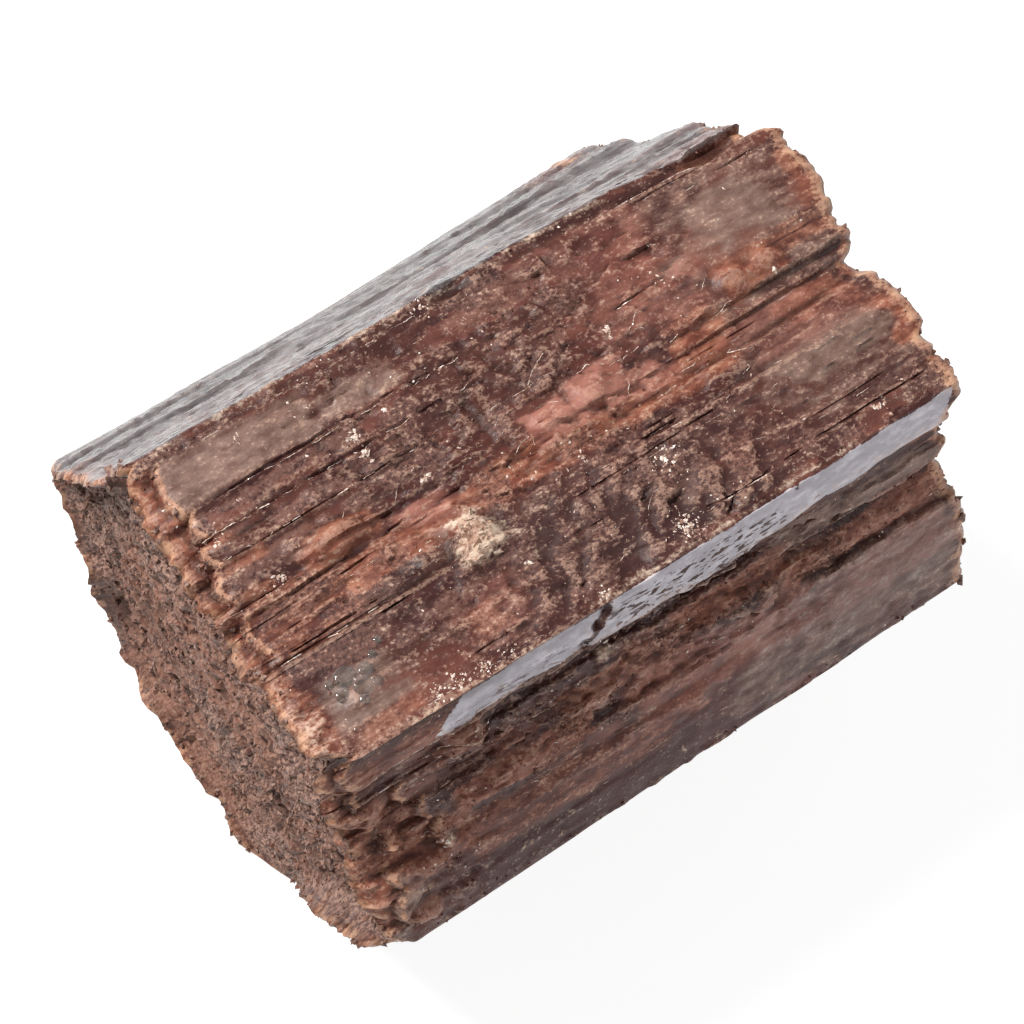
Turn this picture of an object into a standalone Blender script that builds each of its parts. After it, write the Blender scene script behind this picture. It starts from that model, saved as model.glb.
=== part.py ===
"""An aragonite specimen: a cyclic twin, grown as one six-sided column.

Three prisms have grown through each other, so the faces carry ledges that run along the
column, a re-entrant groove where two prisms meet, and shingled plates at both ends.
Metres, +Z up. +X runs along the column, and the origin is under the middle of its base.
Directions are named as for someone who looks along +Y: the near end is at -X.
"""

import math
from collections import namedtuple

import bmesh
import bpy
from mathutils import Vector, geometry, noise

# Driving dimensions, in millimetres unless the name says otherwise.
MM = 0.001
HALF_LENGTH = 18.0
PRISM_ANGLE = 63.8  # degrees between neighbouring prism faces of aragonite
CROWN_DISTANCE = 16.06  # from the column's axis to each face
BACK_SLOPE_DISTANCE = 14.25
BACK_UNDERSIDE_DISTANCE = 16.17
BASE_DISTANCE = 16.14
FRONT_UNDERSIDE_DISTANCE = 13.42
FRONT_SLOPE_DISTANCE = 16.05
END_ZONE = 4.0  # stretch at each end where the plates' tips differ
STATION_STEP = 1.45
ACROSS_STEP = 1.75
RISER = 0.16  # width of the step between two ledges
TIP_ROUNDING = 0.3
TIP_CURVE = 0.45  # the middle of a plate's tip runs this far past its sides
RIM_SERRATION = 0.25
CAP_RECESS = 0.45
CAP_GRAIN = 0.3
CAP_GRAIN_SPACING = 1.5
CAP_GRAIN_SHIFT = 0.4  # how far a grain may lie off its grid
CAP_LIP = 0.95  # share of the radius at which the end face meets the rim's lip
CAP_INSIDE = 0.9  # share of the radius within which the end face has its own vertices
SECTOR_STEP = 0.3  # the end faces of the three prisms differ by this
MERGE_DISTANCE = 0.0001
FLAT_ANGLE = math.radians(0.05)  # faces that bend less than this are joined
SEED_SHIFT = Vector((7.3, 1.9, 4.4))

# How quickly each kind of unevenness changes, per millimetre.
LEDGE_NOISE = 0.9
RIM_NOISE = 1.7
SWELL_NOISE = 0.35
GRAIN_NOISE = 1.3
SHIFT_NOISE = 1.9

BASE_COLOR = (0.155, 0.062, 0.045, 1.0)
ROUGHNESS = 0.42

Face = namedtuple("Face", "name angle distance ledges")

# start: where the ledge begins across its face. near, middle, far: its height over the
# face's plane at the near end, the middle and the far end. near_tip, far_tip: how far its
# plate runs past the nominal end. rough: unevenness of its surface.
Ledge = namedtuple("Ledge", "start near middle far near_tip far_tip rough")

BACK_SLOPE = (
    Ledge(0.0, 0.00, 0.00, 0.80, 0.4, 0.4, 0.0),
    Ledge(2.6, -0.25, -0.10, 0.50, 0.8, 0.6, 0.0),
    Ledge(6.0, -0.50, -0.35, 0.05, 0.7, 0.8, 0.1),
    Ledge(10.2, -0.55, -0.10, 0.20, 0.9, 0.6, 0.0),
    Ledge(14.4, -0.65, -0.20, -0.15, 0.6, 0.8, 0.0),
    Ledge(16.6, -0.10, 0.00, -0.35, 0.9, 0.2, 0.0),
    Ledge(19.3, 0.00, 0.00, -0.30, 0.9, 0.1, 0.0),
)
CROWN = (
    Ledge(0.0, 0.00, 0.00, -0.55, 0.8, 0.1, 0.0),
    Ledge(1.0, -0.10, -0.05, -0.05, 1.2, 1.6, 0.0),
    Ledge(3.6, -0.35, -0.12, -0.08, 1.1, 1.9, 0.0),
    Ledge(5.0, -0.60, -0.20, -0.12, 1.0, 1.6, 0.0),
    Ledge(6.4, -0.85, -0.28, -0.45, 1.0, 1.2, 0.1),
    Ledge(8.3, -1.20, -0.35, -0.95, 0.9, 1.3, 0.1),
    Ledge(9.2, -1.50, -0.45, -1.30, 0.8, 0.9, 0.1),
    Ledge(10.6, -1.20, -0.42, -0.60, 1.1, 1.4, 0.1),
    Ledge(12.3, -0.35, -0.30, -0.15, 1.0, 1.5, 0.0),
    Ledge(14.9, -0.08, -0.12, -0.12, 1.0, 0.8, 0.0),
    Ledge(16.4, 0.00, 0.00, 0.00, 0.4, 0.9, 0.0),
)
FRONT_SLOPE = (
    Ledge(0.0, -0.55, 0.00, 0.00, 1.0, 0.8, 0.0),
    Ledge(2.3, -0.95, -0.90, -0.55, 1.0, -0.2, 0.0),
    Ledge(3.6, -0.80, -0.65, -0.40, 1.2, 0.1, 0.1),
    Ledge(4.8, -1.05, -0.60, -1.00, 0.5, -0.3, 0.1),
    Ledge(5.8, -0.70, -0.45, -0.60, 0.9, 0.1, 0.2),
    Ledge(7.8, -0.55, -0.15, -0.15, 1.0, 0.6, 0.1),
    Ledge(9.6, -0.25, 0.00, 0.00, 1.1, 0.8, 0.0),
    Ledge(12.6, 0.00, 0.00, 0.00, 0.5, 0.5, 0.0),
)
FRONT_UNDERSIDE = (
    Ledge(0.0, 0.00, 0.00, 0.00, 0.25, 0.5, 0.0),
    Ledge(2.4, -0.30, -0.25, -0.30, 1.3, 0.9, 0.0),
    Ledge(5.6, -0.80, -0.70, -0.60, 1.4, 0.6, 0.1),
    Ledge(8.4, -0.90, -1.00, -1.20, 1.35, -0.1, 0.2),
    Ledge(10.0, -1.20, -1.40, -1.60, 1.25, -0.3, 0.2),
    Ledge(11.6, -0.80, -0.80, -0.90, 0.85, 0.6, 0.1),
    Ledge(14.8, -0.40, -0.45, -0.40, 0.35, 1.0, 0.0),
    Ledge(18.2, 0.00, 0.00, 0.00, -0.3, 0.8, 0.0),
)
BASE = (
    Ledge(0.0, 0.00, 0.00, 0.00, 0.6, 0.5, 0.0),
    Ledge(10.6, -0.60, -0.50, -0.70, 0.85, 0.0, 0.1),
    Ledge(12.0, -1.20, -0.90, -1.10, 1.0, -0.2, 0.1),
    Ledge(13.2, 0.00, 0.00, 0.00, 0.65, 0.6, 0.0),
)
BACK_UNDERSIDE = (
    Ledge(0.0, 0.00, 0.00, 0.00, 0.4, 0.5, 0.0),
    Ledge(2.8, -0.30, -0.20, -0.35, 0.55, 0.6, 0.0),
    Ledge(5.4, -1.00, -0.80, -0.90, 0.85, 0.1, 0.1),
    Ledge(7.2, -1.60, -1.30, -1.50, 0.95, 0.0, 0.2),
    Ledge(8.8, -0.60, -0.45, -0.50, 0.65, 0.6, 0.1),
    Ledge(12.0, -0.10, 0.00, 0.85, 0.45, 0.4, 0.0),
)

# The faces in the order met by going round the column, and each face's own ledges.
FACES = (
    Face("back_slope", PRISM_ANGLE, BACK_SLOPE_DISTANCE, BACK_SLOPE),
    Face("crown", 0.0, CROWN_DISTANCE, CROWN),
    Face("front_slope", -PRISM_ANGLE, FRONT_SLOPE_DISTANCE, FRONT_SLOPE),
    Face("front_underside", PRISM_ANGLE - 180.0, FRONT_UNDERSIDE_DISTANCE, FRONT_UNDERSIDE),
    Face("base", 180.0, BASE_DISTANCE, BASE),
    Face("back_underside", 180.0 - PRISM_ANGLE, BACK_UNDERSIDE_DISTANCE, BACK_UNDERSIDE),
)

# Lumps (positive height) and chips (negative) on a face, with smooth flanks.
Lump = namedtuple("Lump", "face along across half_along half_across height")

LUMPS = (
    Lump("crown", -6.4, 11.8, 2.2, 2.2, 0.75),
    Lump("crown", -15.0, 15.4, 2.6, 2.0, 0.25),
    Lump("crown", 2.0, 9.6, 5.0, 2.4, 0.55),
    Lump("crown", -12.2, 8.2, 2.4, 1.3, 0.60),
    Lump("crown", 15.5, 0.2, 3.0, 1.2, -0.60),
    Lump("crown", -0.3, 0.3, 1.8, 1.0, -0.35),
    Lump("front_slope", -3.9, 1.0, 1.0, 1.6, -0.40),
    Lump("front_slope", -9.0, 7.2, 6.0, 1.8, 0.45),
    Lump("front_slope", -17.0, 5.0, 2.2, 1.6, 0.65),
    Lump("front_slope", -16.0, 11.8, 2.8, 2.4, 0.35),
    Lump("front_slope", 8.0, 6.2, 7.0, 1.4, 0.35),
    Lump("back_slope", -17.0, 13.0, 2.6, 5.0, -0.45),
    Lump("front_underside", 4.0, 14.5, 4.5, 3.0, 0.40),
    Lump("front_underside", -12.0, 5.0, 4.0, 2.6, -0.45),
    Lump("back_underside", -6.0, 9.8, 5.0, 2.2, 0.45),
    Lump("back_underside", 10.0, 4.4, 4.0, 2.0, -0.40),
)

# A line along the column. share: its place within its own ledge, from 0 to 1.
Column = namedtuple("Column", "face ledge share across start direction")


def normal_of(face):
    """Outward direction of a face in the column's cross-section (x is Y, y is Z)."""
    angle = math.radians(face.angle)
    return Vector((math.sin(angle), math.cos(angle)))


def corner_between(first, second):
    """Where the planes of two neighbouring faces meet, in the cross-section."""
    a, b = normal_of(first), normal_of(second)
    det = a.x * b.y - a.y * b.x
    y = (first.distance * b.y - second.distance * a.y) / det
    z = (a.x * second.distance - b.x * first.distance) / det
    return Vector((y, z))


def ledge_positions(face, width):
    """Yields places across each ledge, as shares of it and in mm from the face's edge."""
    stops = [ledge.start for ledge in face.ledges[1:]] + [width]
    for ledge, stop in zip(face.ledges, stops):
        first, last = ledge.start + RISER / 2, stop - RISER / 2
        pieces = max(1, round((last - first) / ACROSS_STEP))
        for i in range(pieces + 1):
            yield ledge, i / pieces, first + (last - first) * i / pieces


def make_columns():
    """The lines along the column that carry its vertices, in order round it."""
    columns = []
    for i, face in enumerate(FACES):
        start = corner_between(FACES[i - 1], face)
        end = corner_between(face, FACES[(i + 1) % len(FACES)])
        direction = (end - start).normalized()
        for ledge, share, across in ledge_positions(face, (end - start).length):
            columns.append(Column(face, ledge, share, across, start, direction))
    return columns


def between(near, middle, far, x):
    """Height at x of a ledge that runs straight from near to middle to far."""
    share = min(1.0, abs(x) / HALF_LENGTH)
    return middle + ((near if x < 0 else far) - middle) * share


def lump_height(column, x):
    total = 0.0
    for lump in LUMPS:
        along = (x - lump.along) / lump.half_along
        across = (column.across - lump.across) / lump.half_across
        distance = math.hypot(along, across)
        if lump.face == column.face.name and distance < 1.0:
            total += lump.height * math.cos(distance * math.pi / 2) ** 2
    return total


def unevenness(x, y, z, scale):
    return noise.noise(Vector((x, y, z)) * scale + SEED_SHIFT)


def side_point(column, x, nominal_x):
    """Vertex of the column's side. Heights are laid off along the radius, so that the
    surface never folds over itself."""
    ledge = column.ledge
    flat = column.start + column.direction * column.across
    radial = flat.normalized()
    height = between(ledge.near, ledge.middle, ledge.far, nominal_x) + lump_height(column, x)
    height += ledge.rough * unevenness(x, flat.x, flat.y, LEDGE_NOISE)
    if column.face.name == "base":
        height = min(height, 0.0)
    elif abs(nominal_x) == HALF_LENGTH:
        height -= TIP_ROUNDING
    place = flat + radial * (height / radial.dot(normal_of(column.face)))
    return Vector((x, place.x, place.y))


def tip_of(column, side):
    """Where the column's plate ends: side is -1 at the near end and 1 at the far end."""
    flat = column.start + column.direction * column.across
    tip = column.ledge.near_tip if side < 0 else column.ledge.far_tip
    tip -= TIP_CURVE * (2.0 * column.share - 1.0) ** 2
    tip += RIM_SERRATION * unevenness(side * 9.0, flat.x, flat.y, RIM_NOISE)
    return side * (HALF_LENGTH + tip)


def stretched(nominal_x, near, far):
    """Moves a station in an end zone so that the last one lies at the plate's tip."""
    inner = HALF_LENGTH - END_ZONE
    if nominal_x < -inner:
        return -inner + (nominal_x + inner) * (near + inner) / -END_ZONE
    if nominal_x > inner:
        return inner + (nominal_x - inner) * (far - inner) / END_ZONE
    return nominal_x


def stations():
    count = round(2 * HALF_LENGTH / STATION_STEP)
    return [HALF_LENGTH * (2 * i / count - 1) for i in range(count + 1)]


def cap_level(y, z, side):
    """Place along the column of an end face, which is grainy and stepped by sector."""
    sector = math.floor((math.degrees(math.atan2(z, y)) + 360.0) / 60.0) % 2
    grain = unevenness(side * 5.0, y, z, SWELL_NOISE) + unevenness(side * 5.0, y, z, GRAIN_NOISE)
    return side * (HALF_LENGTH - CAP_RECESS - SECTOR_STEP * sector + CAP_GRAIN * grain)


def inside_rim(y, z, rim):
    """Whether a point of an end face lies well inside the rim, seen from the axis."""
    toward = Vector((y, z)).normalized()
    nearest = max(rim, key=lambda vertex: toward.dot(vertex.co.yz.normalized()))
    return math.hypot(y, z) < CAP_INSIDE * nearest.co.yz.length


def grain_points(rim, side):
    """Vertices of an end face on a staggered grid, each moved a little off it."""
    points = []
    row_gap = CAP_GRAIN_SPACING * math.sin(math.radians(60.0))
    count = math.ceil(HALF_LENGTH / CAP_GRAIN_SPACING)
    for row in range(-count, count + 1):
        for place in range(-count, count + 1):
            y = CAP_GRAIN_SPACING * (place + 0.5 * (row % 2))
            z = row_gap * row
            y += CAP_GRAIN_SHIFT * unevenness(side * 3.0, y, z, SHIFT_NOISE)
            z += CAP_GRAIN_SHIFT * unevenness(z, side * 3.0, y, SHIFT_NOISE)
            if inside_rim(y, z, rim):
                points.append(Vector((cap_level(y, z, side), y, z)))
    return points


def add_side(mesh, columns):
    """Adds the rings of vertices along the column and the faces between them."""
    rings = []
    for nominal_x in stations():
        ring = []
        for column in columns:
            x = stretched(nominal_x, tip_of(column, -1), tip_of(column, 1))
            ring.append(mesh.verts.new(side_point(column, x, nominal_x)))
        rings.append(ring)
    for first, second in zip(rings, rings[1:]):
        add_band(mesh, first, second)
    return rings[0], rings[-1]


def add_band(mesh, first, second):
    for i in range(len(first)):
        mesh.faces.new((first[i - 1], first[i], second[i], second[i - 1]))


def add_cap(mesh, rim, side):
    """Closes one end: a lip inside the rim, then a grainy face within the lip."""
    lip = []
    for vertex in rim:
        y, z = vertex.co.y * CAP_LIP, vertex.co.z * CAP_LIP
        lip.append(mesh.verts.new((cap_level(y, z, side), y, z)))
    add_band(mesh, rim, lip)
    vertices = lip + [mesh.verts.new(point) for point in grain_points(rim, side)]
    flat = [vertex.co.yz for vertex in vertices]
    outline = [list(range(len(lip)))]
    filled = geometry.delaunay_2d_cdt(flat, [], outline, 1, MERGE_DISTANCE)
    triangles, sources = filled[2], filled[3]
    for triangle in triangles:
        mesh.faces.new([vertices[sources[corner][0]] for corner in triangle])


def settle(mesh):
    """Scales to metres, stands the base on z = 0 and centres the outline on the origin."""
    low = [min(v.co[axis] for v in mesh.verts) for axis in range(3)]
    high = [max(v.co[axis] for v in mesh.verts) for axis in range(3)]
    shift = Vector(((low[0] + high[0]) / 2, (low[1] + high[1]) / 2, low[2]))
    for vertex in mesh.verts:
        vertex.co = (vertex.co - shift) * MM


def make_material():
    material = bpy.data.materials.new("aragonite")
    material.use_nodes = True
    shader = material.node_tree.nodes["Principled BSDF"]
    shader.inputs["Base Color"].default_value = BASE_COLOR
    shader.inputs["Roughness"].default_value = ROUGHNESS
    shader.inputs["Metallic"].default_value = 0.0
    material.diffuse_color = BASE_COLOR
    return material


def make_crystal():
    mesh = bmesh.new()
    near_rim, far_rim = add_side(mesh, make_columns())
    add_cap(mesh, near_rim, -1)
    add_cap(mesh, far_rim, 1)
    settle(mesh)
    bmesh.ops.dissolve_limit(mesh, angle_limit=FLAT_ANGLE, verts=mesh.verts[:], edges=mesh.edges[:])
    bmesh.ops.triangulate(mesh, faces=mesh.faces[:])
    bmesh.ops.recalc_face_normals(mesh, faces=mesh.faces[:])
    data = bpy.data.meshes.new("aragonite_crystal")
    mesh.to_mesh(data)
    mesh.free()
    crystal = bpy.data.objects.new("aragonite_crystal", data)
    crystal.data.materials.append(make_material())
    bpy.context.scene.collection.objects.link(crystal)


def clear_scene():
    for old in list(bpy.data.objects):
        bpy.data.objects.remove(old, do_unlink=True)


clear_scene()
make_crystal()
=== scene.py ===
"""Looks of the aragonite specimen: one finely modelled twinned crystal on a pale floor.

Lengths are in millimetres until a mesh is made. "along" is the place on the column's axis,
from -18 at the near end to 18 at the far end, and "across" is the place across one face.
"""

import math
from collections import namedtuple

import bmesh
import bpy
import numpy as np
from mathutils import Matrix, Vector, geometry
from mathutils.bvhtree import BVHTree


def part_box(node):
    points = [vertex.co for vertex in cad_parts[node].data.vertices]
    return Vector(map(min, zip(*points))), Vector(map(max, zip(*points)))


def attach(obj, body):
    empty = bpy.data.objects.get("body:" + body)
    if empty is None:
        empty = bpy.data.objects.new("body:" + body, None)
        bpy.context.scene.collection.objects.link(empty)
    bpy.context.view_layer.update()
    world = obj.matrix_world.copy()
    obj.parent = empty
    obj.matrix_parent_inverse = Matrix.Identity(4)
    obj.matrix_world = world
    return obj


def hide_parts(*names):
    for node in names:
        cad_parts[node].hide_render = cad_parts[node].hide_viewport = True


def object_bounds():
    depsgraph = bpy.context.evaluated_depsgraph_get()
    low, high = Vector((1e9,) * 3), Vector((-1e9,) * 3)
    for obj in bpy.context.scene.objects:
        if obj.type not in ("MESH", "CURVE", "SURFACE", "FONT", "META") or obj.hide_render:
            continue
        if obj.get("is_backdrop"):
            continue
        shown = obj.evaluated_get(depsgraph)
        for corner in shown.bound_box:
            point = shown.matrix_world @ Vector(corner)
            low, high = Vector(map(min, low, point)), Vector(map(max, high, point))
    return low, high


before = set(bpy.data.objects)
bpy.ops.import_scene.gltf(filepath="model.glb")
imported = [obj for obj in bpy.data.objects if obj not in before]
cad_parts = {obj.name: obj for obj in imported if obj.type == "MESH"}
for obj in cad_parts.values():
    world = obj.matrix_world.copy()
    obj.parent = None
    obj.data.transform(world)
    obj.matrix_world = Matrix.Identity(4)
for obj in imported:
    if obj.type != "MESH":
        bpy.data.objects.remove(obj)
CAD_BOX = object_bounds()

NODE = "aragonite_crystal"
MM = 0.001
FACE_SEED = 40.0
RELIEF_SEED = 31.0
STAIN_SEED = 90.0
VEIN_DRAWS, GRAIN_DRAWS, CHIP_DRAWS = 8, 11, 5

# ---------------------------------------------------------------- the crystal's section
HALF_LENGTH = 18.0
END_ZONE = 4.0
PRISM_ANGLE = 63.8
RISER = 0.16

Face = namedtuple("Face", "name angle distance spacing")
FACES = (
    Face("back_slope", PRISM_ANGLE, 14.25, 0.28),
    Face("crown", 0.0, 16.06, 0.16),
    Face("front_slope", -PRISM_ANGLE, 16.05, 0.175),
    Face("front_underside", PRISM_ANGLE - 180.0, 13.42, 0.36),
    Face("base", 180.0, 16.14, 0.6),
    Face("back_underside", 180.0 - PRISM_ANGLE, 16.17, 0.38),
)
CROWN = 1

# start, then height at the near end, the middle and the far end, over the face's plane.
LEDGES = {
    "back_slope": (
        (0, 0, 0, 0.8), (2.6, -0.25, -0.1, 0.5), (6, -0.5, -0.35, 0.05), (10.2, -0.55, -0.1, 0.2),
        (14.4, -0.65, -0.2, -0.15), (16.6, -0.1, 0, -0.35), (19.3, 0, 0, -0.3),
    ),
    "crown": (
        (0, 0, 0, -0.55), (1, -0.1, -0.05, -0.05), (3.6, -0.35, -0.12, -0.08),
        (5, -0.6, -0.2, -0.12), (6.4, -0.85, -0.28, -0.45), (8.3, -1.2, -0.35, -0.95),
        (9.2, -1.5, -0.45, -1.3), (10.6, -1.2, -0.42, -0.6), (12.3, -0.35, -0.3, -0.15),
        (14.9, -0.08, -0.12, -0.12), (16.4, 0, 0, 0),
    ),
    "front_slope": (
        (0, -0.55, 0, 0), (2.3, -0.95, -0.9, -0.55), (3.6, -0.8, -0.65, -0.4),
        (4.8, -1.05, -0.6, -1), (5.8, -0.7, -0.45, -0.6), (7.8, -0.55, -0.15, -0.15),
        (9.6, -0.25, 0, 0), (12.6, 0, 0, 0),
    ),
    "front_underside": (
        (0, 0, 0, 0), (2.4, -0.3, -0.25, -0.3), (5.6, -0.8, -0.7, -0.6), (8.4, -0.9, -1, -1.2),
        (10, -1.2, -1.4, -1.6), (11.6, -0.8, -0.8, -0.9), (14.8, -0.4, -0.45, -0.4),
        (18.2, 0, 0, 0),
    ),
    "base": ((0, 0, 0, 0), (10.6, -0.6, -0.5, -0.7), (12, -1.2, -0.9, -1.1), (13.2, 0, 0, 0)),
    "back_underside": (
        (0, 0, 0, 0), (2.8, -0.3, -0.2, -0.35), (5.4, -1, -0.8, -0.9), (7.2, -1.6, -1.3, -1.5),
        (8.8, -0.6, -0.45, -0.5), (12, -0.1, 0, 0.85),
    ),
}

# The rims: (across, along) points that the plates' tips reach.
NEAR_RIM = {
    "back_slope": (
        (0, -18.15), (2.5, -18.45), (2.8, -18.85), (6, -18.65), (10, -18.55), (10.4, -18.95),
        (14.3, -18.75), (14.6, -18.35), (16.6, -18.75), (20.6, -18.95),
    ),
    "crown": (
        (0, -18.55), (0.8, -18.95), (1.4, -19.15), (4.6, -19.15), (4.9, -18.75), (6.2, -19.15),
        (7.4, -19.05), (7.8, -18.75), (8.8, -18.85), (9.6, -18.65), (10.6, -18.95), (11.9, -19.25),
        (12.3, -18.95), (16.7, -19.05), (17.2, -18.35), (17.7, -17.55),
    ),
    "front_slope": (
        (0, -17.85), (0.5, -19.15), (1.6, -19.15), (2.3, -18.35), (2.8, -19.15), (4.4, -19.15),
        (5.4, -18.45), (5.9, -19.05), (7.2, -18.65), (8.2, -18.95), (10, -19.15), (12, -18.75),
        (13.4, -18.65), (14.6, -17.75),
    ),
    "front_underside": (
        (0, -17.3), (0.8, -17.75), (1.6, -18.45), (2.4, -19.1), (3.2, -19.25), (5, -19.1),
        (6.4, -19.3), (8.8, -19.25), (10.4, -19.15), (12, -18.85), (13.6, -18.6), (15.2, -18.35),
        (16.8, -18.05), (18.4, -17.75), (20, -17.45), (21.3, -17.4),
    ),
    "base": (
        (0, -17.4), (0.8, -17.65), (1.6, -18.1), (2.4, -18.3), (3.2, -18.65), (4, -18.8),
        (4.8, -18.55), (6.4, -18.35), (7.2, -18.75), (8, -18.6), (9.6, -18.75), (10.4, -18.6),
        (12, -18.75), (12.8, -18.95), (14.4, -18.7), (15.2, -18.25), (17.1, -18.45),
    ),
    "back_underside": (
        (0, -18.4), (1, -18.15), (2.4, -18.2), (4, -18.4), (5.6, -18.7), (8, -18.85), (9, -18.6),
        (10.4, -18.5), (12, -18.3), (13.6, -18.25), (14.4, -18.4), (15.6, -18.1),
    ),
}
FAR_RIM = {
    "back_slope": (
        (0, 18.55), (2.6, 18.15), (6, 18.85), (10, 18.55), (10.4, 18.35), (14.4, 18.95),
        (16.6, 18.35), (19.3, 18), (20.6, 18.1),
    ),
    "crown": (
        (0, 17.85), (0.9, 18.35), (1.15, 19.35), (1.6, 19.75), (2.5, 19.45), (3.4, 19.85),
        (5, 19.75), (6, 19.45), (7.4, 19.15), (7.9, 19.45), (8.6, 19.35), (9.3, 18.55),
        (10.8, 19.15), (12.3, 19.45), (14.5, 19.45), (15, 18.65), (16, 18.85), (16.3, 18.55),
        (17.1, 18.95), (17.7, 18.85),
    ),
    "front_slope": (
        (0, 18.85), (0.9, 18.95), (1.7, 17.95), (2.2, 18.25), (3, 17.65), (3.9, 18.15),
        (4.7, 17.45), (6, 17.85), (7.8, 18.25), (9.4, 18.75), (11.6, 18.65), (12.2, 18.35),
        (12.6, 18.55), (14.6, 18.45),
    ),
    "front_underside": (
        (0, 18.4), (2.2, 18.5), (2.8, 18.9), (5.4, 18.7), (8.2, 18.4), (8.8, 17.9), (11.4, 17.6),
        (12, 18.5), (14.6, 18.6), (15.2, 19), (18.2, 18.8), (21.3, 18.6),
    ),
    "base": ((0, 18.2), (5, 18.5), (10.5, 18.2), (12.2, 17.7), (13.4, 18.6), (17.1, 18.5)),
    "back_underside": (
        (0, 18.4), (2.8, 18.4), (3.3, 18.8), (5.6, 18.1), (8.6, 17.8), (9.2, 18.5), (12.2, 18.5),
        (15.3, 18.1),
    ),
}
RIM_BEVEL = {"crown": (0.7, 0.45), "front_slope": (0.6, 0.45)}
OTHER_BEVEL = (0.5, 0.3)
RIM_SERRATION = 0.13

# along, across, half-length along, half-width across, height.
LUMPS = {
    "crown": (
        (-6.5, 11.9, 1.7, 1.7, 0.75), (-15.1, 15.3, 2, 1.7, 0.28), (1, 9.4, 3.6, 1.9, 0.45),
        (2.95, 8.5, 1.8, 1.2, 0.3), (0.05, 8.85, 1.2, 1, 0.25), (-11.8, 8.2, 2.3, 1.1, 0.65),
        (15.5, 0.2, 3, 1.1, -0.55), (-0.3, 0.3, 1.6, 0.8, -0.35), (12.4, 7.3, 1.3, 1, 0.4),
        (14.4, 7.2, 1.3, 0.9, 0.35), (13.4, 12.6, 3.8, 2.4, 0.22), (9, 11.3, 1.9, 1.1, 0.3),
        (-1, 17, 1.6, 1.4, -0.25), (2.8, 15.9, 0.9, 1.1, -0.15), (-4.3, 16.6, 1.1, 0.9, -0.2),
        (-2.8, 6.2, 0.6, 1.2, -0.3), (-17, 5.6, 1.2, 0.5, 0.25), (-9, 11.4, 1.3, 0.8, 0.25),
    ),
    "front_slope": (
        (-3.3, 0.3, 0.45, 0.6, -0.25), (-3.9, 1, 0.4, 0.6, -0.3), (-4.7, 1.8, 0.5, 0.5, -0.3),
        (-9.5, 7.3, 4.5, 1.3, 0.45), (-5, 6, 3, 0.9, 0.35), (-17.4, 5, 1.6, 1, 0.6),
        (-16.6, 7.3, 0.8, 1.1, 0.5), (-17.6, 11.4, 2.2, 2.2, 0.5), (-16.5, 12.9, 0.8, 0.7, 0.35),
        (-15.8, 13.1, 0.7, 0.6, 0.3), (-11.5, 3.2, 1.6, 1.4, 0.7), (-15.2, 10, 1.6, 1, 0.35),
        (4.5, 6.5, 4.5, 2.2, 0.45), (0.9, 10.2, 1, 0.9, 0.15), (12, 6.7, 5.5, 1.2, 0.25),
        (-14.2, 9.2, 0.8, 1.1, 0.25),
    ),
    "back_slope": (
        (-16.8, 13, 2.4, 5, -0.4), (13.5, 19.6, 3.2, 2.2, -0.25), (-1.6, 19, 1.2, 1, -0.35),
    ),
    "front_underside": ((4, 14.5, 4.5, 3, 0.4), (-12, 5, 4, 2.6, -0.45)),
    "back_underside": ((-6, 9.8, 5, 2.2, 0.45), (10, 4.4, 4, 2, -0.4)),
    "base": (),
}

# Top plates that stop short of the rim: across, half-width, place of the tip, step down.
PLATES = {
    "crown": (
        (2.3, 1.5, -17.75, 0.45), (4.25, 0.75, -17.5, 0.6), (5.6, 0.7, -17.75, 0.6),
        (7.3, 0.95, -18, 0.6), (10.2, 1.3, -17.9, 0.5),
    ),
    "front_slope": (
        (1.2, 1, -18.2, 0.5), (3.4, 0.9, -17.9, 0.5), (5.6, 0.9, -17.6, 0.5), (7.6, 1, -17, 0.55),
        (9.7, 1, -17.3, 0.5), (11.8, 1, -17.6, 0.45), (4.6, 0.8, -15.8, 0.35),
        (6.5, 0.9, -14.9, 0.4), (8.7, 1, -14.4, 0.35),
    ),
}
TIP_ROUNDING = 0.45

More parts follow.
